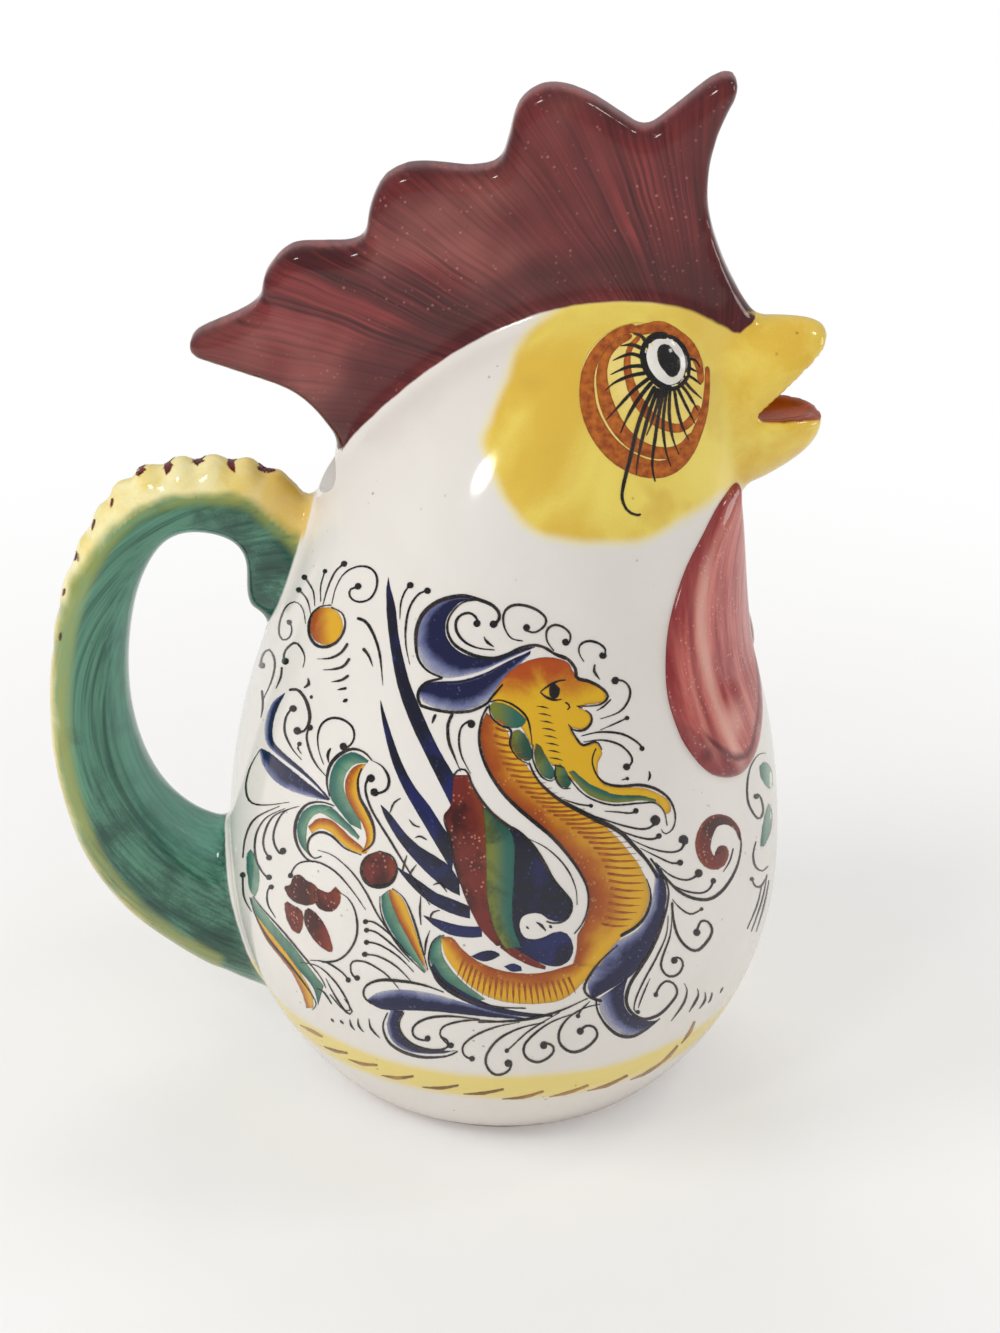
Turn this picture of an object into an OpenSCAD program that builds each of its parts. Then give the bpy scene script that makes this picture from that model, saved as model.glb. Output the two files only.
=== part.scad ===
// Rooster pitcher: a thrown belly on a flat foot, a head and neck shell luted on it,
// a comb, an open beak that pours, raised eyes and wattles, and a pulled handle with a fluted crest.
// The rooster looks along +X, its right side is towards -Y, and it stands on z = 0.

/* [Belly] */
// Widest diameter of the belly
belly_d = 138; // [126:1:150]
// Height of the widest place
belly_z = 59; // [52:1:68]
// How much narrower than its widest place the belly is where it sits on the foot
base_less = 47; // [40:1:52]
// How much narrower than its widest place the belly is where the neck is luted on
joint_less = 21; // [16:1:28]
// Height where the neck is luted on the belly
joint_z = 118; // [112:1:122]
// Thickness of the fired wall
wall = 5; // [4:0.5:6]
// Thickness of the floor inside the belly
floor_t = 6; // [4:0.5:9]

/* [Foot] */
// Diameter of the bare clay foot
foot_d = 84; // [74:1:86]
// Height of the bare clay foot
foot_h = 3; // [2:0.5:5]

/* [Head] */
// Reach of the face in front of the axis
face_x = 55; // [50:1:60]
// Reach of the nape behind the axis, where the comb ends
nape_x = 41; // [36:1:46]
// Height of the comb's root at the nape
nape_z = 167; // [162:1:172]
// Distance of the crown in front of the axis
crown_x = 27; // [20:1:32]
// Height of the comb's root at the crown
crown_z = 206; // [200:1:212]
// Height of the comb's root over the beak
brow_z = 202; // [198:1:206]
// Width that the cheeks pull the head to
cheek_w = 76; // [68:1:84]
// Reach of the cheeks in front of the axis
cheek_front_x = 54; // [50:1:58]
// Reach of the neck behind the axis
neck_back_x = 46; // [42:1:50]
// Height over which the neck leaves the belly's slope
neck_rise = 18; // [12:1:24]
// How much shorter that height is at the front and the back
neck_rise_less = 4; // [0:1:6]
// How far below the comb's root the cheeks swell
cheek_drop = 16; // [12:1:20]
// How much lower the cheeks swell at the front than at the side
cheek_front_drop = 6; // [2:1:8]

/* [Comb] */
// Thickness of the comb
comb_t = 12; // [9:1:15]
// Height of the comb's front prong
comb_z = 258; // [246:1:268]
// Reach of the comb's tail behind the axis
tail_x = 76; // [66:1:84]
// Rounding of the comb's rim
comb_round = 2.4; // [1:0.2:3]

/* [Beak] */
// Reach of the beak in front of the face
beak_reach = 17.5; // [14:0.5:24]
// Width of the beak where it leaves the face
beak_w = 24; // [20:1:28]
// Height of the upper beak's tip
beak_tip_z = 195; // [192:0.5:197]
// Height of the upper beak's ridge where it leaves the face
beak_top_z = 201; // [199:0.5:202]
// Height of the corner of the open beak
corner_z = 178.5; // [175:0.5:181]
// Height where the lower beak leaves the neck
chin_z = 158.5; // [154:0.5:164]
// Depth of the lower beak at its tip
lip_h = 3.2; // [2.4:0.2:5]
// Thickness of the beak's wall
beak_wall = 3.6; // [3:0.2:5]
// Diameter of the hole that pours into the beak
pour_d = 11; // [8:0.5:12]

/* [Mouth] */
// Width of the filling mouth at the back of the neck
mouth_w = 22; // [18:1:30]
// Height of the filling mouth
mouth_h = 10; // [8:0.5:12]

/* [Handle] */
// Reach of the handle behind the axis, without its crest
handle_reach = 111.5; // [104:0.5:122]
// Height of the handle's top, without its crest
handle_top_z = 158.5; // [156:0.5:164]
// Height of the lowest point of the handle's root
handle_low_z = 12.5; // [8:0.5:18]
// Width of the strap across the pitcher
strap_w = 19; // [15:0.5:24]
// Height of the fluted crest over the strap
crest_h = 4.6; // [3:0.2:6]
// Number of flutes along the top of the crest
flutes = 6; // [4:1:8]

/* [Eyes and wattles] */
// Diameter of a raised eye
eye_d = 11.5; // [9:0.5:14]
// How far an eye stands out
eye_rise = 1.6; // [1:0.2:2.4]
// How far up the head's side an eye sits, where 1 is the comb's slot
eye_up = 0.845; // [0.8:0.005:0.88]
// Turn of an eye from straight ahead, in degrees
eye_turn = 53.5; // [48:0.5:60]
// Height of a wattle from its tip to its round end
wattle_h = 65; // [54:1:70]
// Width of a wattle
wattle_w = 43; // [34:1:46]
// Height of a wattle's tip
wattle_z = 163; // [156:0.5:166]
// How far a wattle stands out
wattle_rise = 2.6; // [2:0.2:4]
// Turn of a wattle from straight ahead, in degrees
wattle_turn = 31; // [29:1:36]

/* [Hidden] */
$fn = 96;

// One overrun serves every cut, and one gap clears the wattles' facets from the round belly.
over = 1;
seat_gap = 0.25;

// How finely the curved outlines and shells are drawn.
profile_steps = 26;
ring_steps = 48;
shell_steps = 12;
lining_steps = 9;
outline_steps = 3;
strap_sides = 20;
strap_steps = 5;
lower_rings = 5;

belly_r = belly_d / 2;
joint_r = (belly_d - joint_less) / 2;
base_r = (belly_d - base_less) / 2;

// Half heights of the two ellipses whose arcs make the belly's side.
low_half = (belly_z - foot_h) / sqrt(1 - pow(base_r / belly_r, 2));
high_half = (joint_z - belly_z) / sqrt(1 - pow(joint_r / belly_r, 2));
joint_share = (joint_z - belly_z) / high_half;
joint_slope = -belly_r * joint_share / (high_half * sqrt(1 - joint_share * joint_share));

// The comb's slot in the head, and the hollow that ends below it.
slot_mid = (face_x - nape_x) / 2;
slot_half = (face_x + nape_x) / 2;
slot_power = 0.6;
hollow_short = 7;
hollow_drop = 9;
hollow_slot = 3;
egg_share = 0.2;
cheek_mid = (cheek_front_x - neck_back_x) / 2;
cheek_half = (cheek_front_x + neck_back_x) / 2;

// The beak runs into the face by this much, and is cut to the face's own surface.
beak_root = 9;
beak_sections = 9;
beak_sides = 10;
beak_power = 0.85;
beak_nib_share = 0.2;
beak_inner_share = 0.33;
beak_fill_share = 0.85;
// How late each half's back curves to the tip, and how deep it is hollowed.
upper_bend = 3;
lower_bend = 1;
upper_hollow_share = 0.7;
lower_hollow_share = 0.2;

mouth_z = nape_z - mouth_h / 2 - beak_wall / 2;
mouth_power = 1.6;
mouth_points = 40;

// How much of the rim's rounding falls on its side.
comb_soft_share = 0.33;

// Comb outline from the tail's tip over the lobes to the front, as shares of its length and height.
comb_shares = [
  [0, 0.258], [0.015, 0.297], [0.094, 0.352], [0.13, 0.396], [0.14, 0.462], [0.183, 0.531],
  [0.237, 0.541], [0.29, 0.544], [0.316, 0.571], [0.325, 0.648], [0.351, 0.72], [0.405, 0.754],
  [0.496, 0.747], [0.546, 0.764], [0.562, 0.824], [0.58, 0.918], [0.63, 0.964], [0.695, 0.943],
  [0.763, 0.885], [0.798, 0.86], [0.84, 0.904], [0.908, 0.987], [0.944, 0.998], [0.951, 0.956],
  [0.922, 0.857], [0.908, 0.736], [0.918, 0.621], [0.954, 0.489], [1, 0.385]
];
// The hollow edge from the nape back to the tail's tip.
tail_shares = [[0.268, 0], [0.237, 0.082], [0.183, 0.153], [0.092, 0.201], [0.015, 0.237]];

// Outer and inner edge of the strap from the neck to the belly, as shares of its reach from the
// neck's back and of its height.
outer_shares = [
  [0.001, 0.915], [0.106, 0.962], [0.229, 0.993], [0.367, 1], [0.518, 0.993], [0.687, 0.962],
  [0.831, 0.887], [0.947, 0.764], [1, 0.599], [0.993, 0.449], [0.917, 0.298], [0.77, 0.188],
  [0.58, 0.113], [0.367, 0.055], [0.091, 0]
];
inner_shares = [
  [0.081, 0.723], [0.253, 0.764], [0.268, 0.853], [0.336, 0.89], [0.474, 0.899], [0.58, 0.87],
  [0.665, 0.795], [0.711, 0.695], [0.717, 0.586], [0.68, 0.49], [0.603, 0.414], [0.496, 0.363],
  [0.382, 0.339], [0.275, 0.332], [0.122, 0.325]
];
strap_shares = [0.9, 0.86, 0.86, 0.88, 0.9, 0.92, 0.94, 0.96, 1, 1.04, 1.12, 1.24, 1.4, 1.56, 1.7];
strap_power = 0.85;
// The crest's height along the strap, how much of it the flutes take away, and how sharp their dips are.
crest_shares = [0.2, 0.9, 1, 1, 1, 0.9, 0.5, 0.34, 0.28, 0.28, 0.26, 0.24, 0.2, 0.2, 0.2];
flute_share = 0.34;
flute_power = 0.7;
crest_half_sides = 3;
// The strap's rings between which the crest runs, and the ring at which its flutes end.
crest_rings = [2, 64];
flute_rings = 27;

// A wattle's outline from its tip, down its rear edge and up its front edge, as shares of its size.
wattle_shares = [
  [-0.44, 0], [-0.32, -0.01], [-0.2, -0.04], [-0.07, -0.1], [0.13, -0.21], [0.3, -0.37],
  [0.39, -0.54], [0.41, -0.67], [0.38, -0.8], [0.25, -0.93], [0.03, -1], [-0.16, -0.99],
  [-0.31, -0.94], [-0.45, -0.85], [-0.54, -0.72], [-0.57, -0.52], [-0.53, -0.28], [-0.47, -0.08]
];

function mix(a, b, t) = a + (b - a) * t;
function powered(v, p) = sign(v) * pow(abs(v), p);

// A smooth curve through the points of p, where u counts points from 0.
function curve(p, u) =
  let (n = len(p))
  let (i = min(floor(u), n - 2))
  let (t = u - i)
  let (a = p[max(i - 1, 0)])
  let (b = p[i])
  let (c = p[i + 1])
  let (d = p[min(i + 2, n - 1)])
  b + (c - a) * t / 2
    + (a - 2.5 * b + 2 * c - d / 2) * t * t
    + (1.5 * (b - c) + (d - a) / 2) * t * t * t;
function smooth(p, steps) =
  [for (i = [0 : steps * (len(p) - 1)]) curve(p, i / steps)];
// The same curve through a closed loop of points.
function looped(p) =
  let (n = len(p))
  concat([p[n - 1]], p, [p[0], p[1]]);
function smooth_loop(p, steps) =
  [for (i = [0 : steps * len(p) - 1]) curve(looped(p), 1 + i / steps)];

// Radius of the belly's side at a height.
function side_r(z) =
  let (half = z < belly_z ? low_half : high_half)
  let (s = (z - belly_z) / half)
  belly_r * sqrt(1 - s * s);
function side_points(z0, grow) =
  [for (i = [0 : profile_steps])
    let (z = mix(z0, joint_z, i / profile_steps))
    [side_r(z) + grow, z]];

// Height of the comb's root over a place on the head.
function root_z(x) =
  x < crown_x
    ? crown_z - (crown_z - nape_z) * pow((crown_x - x) / (crown_x + nape_x), 2)
    : crown_z - (crown_z - brow_z) * pow((x - crown_x) / (face_x - crown_x), 2);

// A point of the head's shell: t runs from the joint to the comb's slot, a goes round from the face.
function shell_point(t, a, grow, short, drop, slot) =
  let (c = cos(a))
  let (s = sin(a))
  let (rise = neck_rise - neck_rise_less * c * c)
  let (top_x = slot_mid + (slot_half - short) * c)
  let (top = [top_x, slot / 2 * powered(s, slot_power), root_z(top_x) - drop])
  let (foot_p = [(joint_r + grow) * c, (joint_r + grow) * s, joint_z])
  let (neck_p = foot_p + [joint_slope * c * rise, joint_slope * s * rise, rise])
  let (cheek_p = [
    cheek_mid + (cheek_half + grow) * c,
    (cheek_w / 2 + grow) * s * (1 - egg_share * c),
    top[2] - cheek_drop - cheek_front_drop * c
  ])
  let (r = 1 - t)
  foot_p * r * r * r + neck_p * 3 * t * r * r + cheek_p * 3 * t * t * r + top * t * t * t;
function shell_points(steps, grow, short, drop, slot) =
  [for (i = [0 : steps], j = [0 : ring_steps - 1])
    shell_point(i / steps, 360 * j / ring_steps, grow, short, drop, slot)];

// Triangles between ring after ring of n points, from point k on; flip turns them inside out.
function turned(f, flip) = flip ? [f[2], f[1], f[0]] : f;
function side_faces(steps, n, k, flip) =
  [for (i = [0 : steps - 1], j = [0 : n - 1], h = [0, 1])
    let (a = k + i * n + j)
    let (b = k + i * n + (j + 1) % n)
    turned(h == 0 ? [a, b + n, b] : [a, a + n, b + n], flip)];
// Triangles across a ring that is the same on both sides of the middle.
function slot_faces(n, k, flip) =
  [for (j = [0 : n / 2 - 1], h = [0, 1])
    let (a = k + j)
    let (b = k + j + 1)
    let (c = k + n - j - 1)
    let (d = k + (n - j) % n)
    if (h == 0 ? j < n / 2 - 1 : j > 0)
      turned(h == 0 ? [b, a, c] : [a, d, c], flip)];

// Triangles across a section whose inner arch comes back along its outer one.
function arch_faces(sides, k, flip) =
  let (n = 2 * sides + 1)
  [for (j = [0 : sides - 1], h = [0, 1])
    turned(h == 0 ? [k + j, k + j + 1, k + n - 1 - j] : [k + j, k + n - 1 - j, k + n - j], flip)];

// The head's outside as a solid, grown by an amount, and taken down over the belly to the heights in lower.
module head_solid(grow, lower = []) {
  steps = len(lower) + shell_steps;
  polyhedron(
    points = concat(
      [for (z = lower, j = [0 : ring_steps - 1])
        let (a = 360 * j / ring_steps)
        [(side_r(z) + grow) * cos(a), (side_r(z) + grow) * sin(a), z]],
      shell_points(shell_steps, grow, -grow, -grow, comb_t + 2 * grow)
    ),
    faces = concat(
      side_faces(steps, ring_steps, 0, false),
      slot_faces(ring_steps, steps * ring_steps, false),
      [[for (j = [0 : ring_steps - 1]) j]]
    )
  );
}

module head_hollow() {
  polyhedron(
    points = concat(
      [for (j = [0 : ring_steps - 1])
        shell_point(0, 360 * j / ring_steps, -wall, hollow_short, hollow_drop, hollow_slot)
          - [0, 0, over]],
      shell_points(lining_steps, -wall, hollow_short, hollow_drop, hollow_slot)
    ),
    faces = concat(
      side_faces(lining_steps + 1, ring_steps, 0, false),
      slot_faces(ring_steps, (lining_steps + 1) * ring_steps, false),
      [[for (j = [0 : ring_steps - 1]) j]]
    )
  );
}

module belly_solid() {
  rotate_extrude()
    polygon(concat([[0, foot_h]], side_points(foot_h, 0), [[0, joint_z]]));
}

// A bar along X whose outline is a leaf that is widest in the middle of its height.
module mouth_bar() {
  rotate([90, 0, 90])
    linear_extrude(height = nape_x)
      polygon([for (i = [0 : mouth_points - 1])
        let (a = 360 * i / mouth_points)
        [mouth_w / 2 * cos(a) * pow(abs(cos(a)), mouth_power - 1), mouth_h / 2 * sin(a)]]);
}

module foot() {
  color("peru") cylinder(h = foot_h, d = foot_d);
}

module belly() {
  inside = foot_h + floor_t;
  color("ivory")
    rotate_extrude()
      polygon(concat(
        [[0, foot_h]],
        side_points(foot_h, 0),
        [for (i = [profile_steps : -1 : 0]) side_points(inside, -wall)[i]],
        [[0, inside]]
      ));
}

module head() {
  color("ivory")
    difference() {
      head_solid(0);
      head_hollow();
      translate([face_x - beak_root - wall, 0, corner_z + pour_d / 2 - beak_wall])
        rotate([0, 90, 0])
          cylinder(h = beak_root + wall + over, d = pour_d);
      translate([-nape_x - nape_x / 2, 0, mouth_z]) mouth_bar();
    }
}

// The comb's side view, with its rim drawn in by an amount but its seat on the head kept whole.
module comb_side(inset) {
  long = face_x + tail_x;
  high = comb_z - nape_z;
  crest = [for (p = smooth(comb_shares, outline_steps)) [p[0] * long - tail_x, nape_z + p[1] * high]];
  tail = [for (p = smooth(tail_shares, outline_steps)) [p[0] * long - tail_x, nape_z + p[1] * high]];
  seat = [for (j = [0 : ring_steps / 2])
    let (x = slot_mid + slot_half * cos(360 * j / ring_steps))
    [x, root_z(x)]];
  difference() {
    offset(delta = -inset)
      polygon(concat(
        crest,
        [for (p = seat) p - [0, comb_t]],
        [[-nape_x, nape_z]],
        tail
      ));
    polygon(concat(seat, [[-nape_x, nape_z - 2 * comb_t], [face_x, nape_z - 2 * comb_t]]));
  }
}

module comb() {
  color("brown")
    rotate([90, 0, 0])
      union() {
        linear_extrude(height = comb_t - 2 * comb_round, center = true) comb_side(0);
        linear_extrude(height = comb_t - comb_round, center = true) comb_side(comb_round * comb_soft_share);
        linear_extrude(height = comb_t, center = true) comb_side(comb_round);
      }
}

// One half of the beak: sections along X, each an arch with a hollow of the same form inside it.
// side is 1 for the upper half and -1 for the lower one, and bend is how late its back curves to the tip.
module beak_half(root_rim, root_back, tip_rim, tip_back, side, bend, hollow_share) {
  count = 2 * (beak_sides + 1);
  start = asin(beak_root / (beak_root + beak_reach)) / 90;
  sections = [for (i = [0 : beak_sections])
    let (t = i / beak_sections)
    let (x = face_x - beak_root + (beak_root + beak_reach) * sin(90 * t))
    let (w = beak_w / 2 * mix(1, beak_nib_share, pow(t, 2)))
    let (rim = mix(root_rim, tip_rim, max(x - face_x, 0) / beak_reach))
    let (back = mix(root_back, tip_back, powered((t - start) / (1 - start), bend)))
    let (deep = (back - rim) * hollow_share * (1 - beak_fill_share * pow(t, 3)))
    let (inner = max(w - beak_wall, w * beak_inner_share))
    concat(
      [for (j = [0 : beak_sides])
        let (a = 180 * j / beak_sides)
        [x, w * cos(a), rim + (back - rim) * powered(sin(a), beak_power)]],
      [for (j = [0 : beak_sides])
        let (a = 180 - 180 * j / beak_sides)
        [x, inner * cos(a), rim + deep * sin(a)]]
    )];
  polyhedron(
    points = [for (s = sections, p = s) p],
    faces = concat(
      side_faces(beak_sections, count, 0, side < 0),
      arch_faces(beak_sides, 0, side < 0),
      arch_faces(beak_sides, beak_sections * count, side > 0)
    )
  );
}

module upper_beak() {
  color("goldenrod")
    difference() {
      beak_half(
        corner_z, beak_top_z, beak_tip_z, beak_tip_z + lip_h / 2,
        1, upper_bend, upper_hollow_share
      );
      head_solid(0);
    }
}

module lower_beak() {
  color("goldenrod")
    difference() {
      beak_half(
        corner_z, chin_z, corner_z, corner_z - lip_h,
        -1, lower_bend, lower_hollow_share
      );
      head_solid(0);
    }
}

module right_eye() {
  step = 0.001;
  place = shell_point(eye_up, -eye_turn, 0, 0, 0, comb_t);
  along = shell_point(eye_up, -eye_turn + step, 0, 0, 0, comb_t) - place;
  up = shell_point(eye_up + step, -eye_turn, 0, 0, 0, comb_t) - place;
  out = cross(along, up) / norm(cross(along, up));
  drop = (pow(eye_d / 2, 2) - eye_rise * eye_rise) / (2 * eye_rise);
  color("white")
    difference() {
      translate(place - out * drop) sphere(r = drop + eye_rise, $fn = 2 * $fn);
      head_solid(0);
    }
}

module left_eye() {
  mirror([0, 1, 0]) right_eye();
}

module right_wattle() {
  low_z = wattle_z - wattle_h - 2 * wattle_rise;
  lower = [for (i = [0 : lower_rings - 1]) mix(low_z, joint_z, i / lower_rings)];
  color("indianred")
    difference() {
      intersection() {
        rotate([0, 0, -wattle_turn])
          translate([0, 0, wattle_z])
            rotate([90, 0, 90])
              linear_extrude(height = belly_r + 2 * wattle_rise)
                polygon([for (p = smooth_loop(wattle_shares, outline_steps))
                  [-p[0] * wattle_w, p[1] * wattle_h]]);
        head_solid(wattle_rise, lower);
      }
      head_solid(seat_gap, lower);
    }
}

module left_wattle() {
  mirror([0, 1, 0]) right_wattle();
}

// The middle, the outward direction, and the two half sizes of the strap's section at u.
function strap_edge(shares, u) =
  let (p = curve(shares, u))
  [-mix(neck_back_x, handle_reach, p[0]), 0, mix(handle_low_z, handle_top_z, p[1])];
function strap_point(u, a, grow) =
  let (out_p = strap_edge(outer_shares, u))
  let (in_p = strap_edge(inner_shares, u))
  let (mid = (out_p + in_p) / 2)
  let (out = (out_p - in_p) / norm(out_p - in_p))
  let (half = norm(out_p - in_p) / 2)
  let (side = strap_w / 2 * curve(strap_shares, u))
  mid + out * (half * powered(cos(a), strap_power) + grow)
    + [0, side * powered(sin(a), strap_power), 0];

module strap() {
  steps = strap_steps * (len(outer_shares) - 1);
  last = steps * strap_sides;
  polyhedron(
    points = [for (i = [0 : steps], j = [0 : strap_sides - 1])
      strap_point(i / strap_steps, 360 * j / strap_sides, 0)],
    faces = concat(
      side_faces(steps, strap_sides, 0, false),
      [[for (j = [0 : strap_sides - 1]) j]],
      [[for (j = [strap_sides - 1 : -1 : 0]) last + j]]
    )
  );
}

module handle() {
  color("cadetblue")
    difference() {
      strap();
      belly_solid();
      head_solid(0);
    }
}

// Height of the crest at ring k of the strap, with its flutes over the top of the handle.
function crest_at(k) =
  let (wave = k < flute_rings ? pow(abs(sin(180 * flutes * k / flute_rings)), flute_power) : 1)
  crest_h * curve(crest_shares, k / strap_steps) * (1 - flute_share * (1 - wave));
// The crest's section, which has its seat on the strap's own surface.
function crest_ring(k) =
  let (m = crest_half_sides)
  let (u = k / strap_steps)
  let (turn = 360 / strap_sides)
  concat(
    [for (j = [-m : m]) strap_point(u, j * turn, 0)],
    [for (j = [m - 1 : -1 : 1 - m]) strap_point(u, j * turn, crest_at(k) * cos(90 * j / m))]
  );

module handle_crest() {
  n = 4 * crest_half_sides;
  steps = crest_rings[1] - crest_rings[0];
  color("khaki")
    difference() {
      polyhedron(
        points = [for (i = [0 : steps]) each crest_ring(crest_rings[0] + i)],
        faces = concat(
          side_faces(steps, n, 0, true),
          slot_faces(n, 0, false),
          slot_faces(n, steps * n, true)
        )
      );
      head_solid(0);
    }
}

foot();
belly();
head();
comb();
upper_beak();
lower_beak();
right_eye();
left_eye();
right_wattle();
left_wattle();
handle();
handle_crest();
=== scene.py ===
import bpy
import bmesh
from math import radians, sin, cos, asin, pi, sqrt, copysign, hypot, ceil
from mathutils import Vector, Matrix
from mathutils.bvhtree import BVHTree
from mathutils.interpolate import poly_3d_calc


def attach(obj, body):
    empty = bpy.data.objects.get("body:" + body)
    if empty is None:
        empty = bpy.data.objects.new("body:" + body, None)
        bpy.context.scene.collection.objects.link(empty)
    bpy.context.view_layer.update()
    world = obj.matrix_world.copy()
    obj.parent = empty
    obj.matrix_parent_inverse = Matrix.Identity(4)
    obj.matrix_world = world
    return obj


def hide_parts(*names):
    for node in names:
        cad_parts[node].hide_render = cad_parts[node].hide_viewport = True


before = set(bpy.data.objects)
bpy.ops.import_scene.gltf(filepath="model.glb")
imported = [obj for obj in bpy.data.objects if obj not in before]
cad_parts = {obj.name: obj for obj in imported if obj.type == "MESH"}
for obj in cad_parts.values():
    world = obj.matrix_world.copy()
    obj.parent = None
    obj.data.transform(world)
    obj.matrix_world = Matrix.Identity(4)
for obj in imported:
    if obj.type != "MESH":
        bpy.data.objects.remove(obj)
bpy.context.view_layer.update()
bpy.context.scene.view_settings.view_transform = "Standard"

# Sizes below are in millimetres, and MM brings a finished shape to metres.
MM = 0.001

# The photograph's frame and the camera that was fitted to the pitcher's outline in it.
PHOTO_W, PHOTO_H = 1000, 1333
FOCAL_PX = 3000
CAMERA_PLACE = Vector((0, -655.28, 445.61))
CAMERA_PITCH, CAMERA_ROLL, CAMERA_YAW = 0.475608, 0.02082, -0.002671

# The grain of the fused skin, and how far and how often its joints are softened.
VOXEL, QUICK_VOXEL = 1.25, 1.8
JOINT_REACH, JOINT_TURNS = 5, 18

# The belly, the head's shell and what is luted on them, in the part's own sizes.
FOOT_H, FOOT_R = 3, 42
BELLY_R, BELLY_Z, BASE_R = 69, 59, 45.5
JOINT_R, JOINT_Z = 58.5, 118
WALL, FLOOR_Z = 5, 9
FACE_X, NAPE_X, NAPE_Z = 55, 41, 167
CROWN_X, CROWN_Z, BROW_Z = 27, 206, 202
CHEEK_MID, CHEEK_HALF, CHEEK_W = 4, 50, 76
NECK_RISE, NECK_RISE_LESS, CHEEK_DROP, CHEEK_TILT, EGG_SHARE = 18, 4, 16, 6, 0.2
COMB_T, COMB_Z, TAIL_X = 12, 258, 76
SLOT_POWER = 0.6
COMB_SINK, COMB_SEAT_SHARE, COMB_RIM = 6, 0.93, 3.2
HOLLOW_SHORT, HOLLOW_DROP, HOLLOW_SLOT = 7, 9, 3
BEAK_ROOT, BEAK_REACH, BEAK_W, BEAK_NIB_SHARE = 9, 17.5, 24, 0.2
BEAK_TIP_Z, BEAK_TOP_Z, CORNER_Z, CHIN_Z, LIP_H = 195, 201, 178.5, 158.5, 3.2
BEAK_WALL, BEAK_POWER, POUR_R = 3.6, 0.85, 5.5
POUR_X, POUR_LONG = 49, 16
MOUTH_W, MOUTH_H, MOUTH_Z, MOUTH_POWER = 22, 10, 160.2, 1.6
MOUTH_OUT_X, MOUTH_IN_X = -47, -20
HANDLE_REACH, HANDLE_TOP_Z, HANDLE_LOW_Z, STRAP_W, STRAP_POWER = 111.5, 158.5, 12.5, 19, 0.85
CREST_H, FLUTE_SHARE, FLUTE_POWER = 4.6, 0.66, 0.75
CREST_START, CREST_END = 0.4, 12.8
WATTLE_H, WATTLE_W, WATTLE_Z, WATTLE_RISE, WATTLE_TURN = 65, 43, 163, 2.6, radians(31)
WATTLE_ROUND, WATTLE_BACK = 5.0, 1.2
EYE_R, EYE_RISE, EYE_UP, EYE_TURN = 5.75, 1.6, 0.845, radians(-53.5)

COMB_SHARES = [
    (0, 0.258), (0.015, 0.297), (0.094, 0.352), (0.13, 0.396), (0.14, 0.462), (0.183, 0.531), (0.237, 0.541),
    (0.29, 0.544), (0.316, 0.571), (0.325, 0.648), (0.351, 0.72), (0.405, 0.754), (0.496, 0.747),
    (0.546, 0.764), (0.562, 0.824), (0.58, 0.918), (0.63, 0.964), (0.695, 0.943), (0.763, 0.885),
    (0.798, 0.86), (0.84, 0.904), (0.908, 0.987), (0.944, 0.998), (0.951, 0.956), (0.922, 0.857),
    (0.908, 0.736), (0.918, 0.621), (0.954, 0.489), (1, 0.385)]
TAIL_SHARES = [(0.268, 0), (0.237, 0.082), (0.183, 0.153), (0.092, 0.201), (0.015, 0.237)]
OUTER_SHARES = [
    (0.413, 0.915), (0.475, 0.962), (0.547, 0.993), (0.628, 1), (0.717, 0.993), (0.816, 0.962),
    (0.901, 0.887), (0.969, 0.764), (1, 0.599), (0.996, 0.449), (0.951, 0.298), (0.865, 0.188),
    (0.753, 0.113), (0.628, 0.055), (0.466, 0)]
INNER_SHARES = [
    (0.46, 0.723), (0.561, 0.764), (0.57, 0.853), (0.61, 0.89), (0.691, 0.899), (0.753, 0.87), (0.803, 0.795),
    (0.83, 0.695), (0.834, 0.586), (0.812, 0.49), (0.767, 0.414), (0.704, 0.363), (0.637, 0.339),
    (0.574, 0.332), (0.484, 0.325)]
STRAP_SHARES = [0.9, 0.86, 0.86, 0.88, 0.9, 0.92, 0.94, 0.96, 1, 1.04, 1.12, 1.24, 1.4, 1.56, 1.7]
CREST_SHARES = [0.2, 0.9, 1, 1, 1, 0.9, 0.5, 0.34, 0.28, 0.28, 0.26, 0.24, 0.2, 0.2, 0.2]
CREST_DIPS = [0.95, 1.8, 2.62, 3.47, 4.22, 4.9, 5.45, 5.97, 6.55, 7.1, 7.6]
WATTLE_SHARES = [
    (-0.44, 0), (-0.32, -0.01), (-0.2, -0.04), (-0.07, -0.1), (0.13, -0.21), (0.3, -0.37), (0.39, -0.54),
    (0.41, -0.67), (0.38, -0.8), (0.25, -0.93), (0.03, -1), (-0.16, -0.99), (-0.31, -0.94), (-0.45, -0.85),
    (-0.54, -0.72), (-0.57, -0.52), (-0.53, -0.28), (-0.47, -0.08)]

LOW_HALF = (BELLY_Z - FOOT_H) / sqrt(1 - (BASE_R / BELLY_R) ** 2)
HIGH_HALF = (JOINT_Z - BELLY_Z) / sqrt(1 - (JOINT_R / BELLY_R) ** 2)
JOINT_SHARE = (JOINT_Z - BELLY_Z) / HIGH_HALF
JOINT_SLOPE = -BELLY_R * JOINT_SHARE / (HIGH_HALF * sqrt(1 - JOINT_SHARE ** 2))
SLOT_MID, SLOT_HALF = (FACE_X - NAPE_X) / 2, (FACE_X + NAPE_X) / 2


# ---------------- curves

def mix(a, b, t):
    return a + (b - a) * t


def powered(v, p):
    return copysign(abs(v) ** p, v)


def clamp(v):
    return max(0.0, min(1.0, v))


def eased(v, low, high):
    t = clamp((v - low) / (high - low))
    return t * t * (3 - 2 * t)


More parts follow.
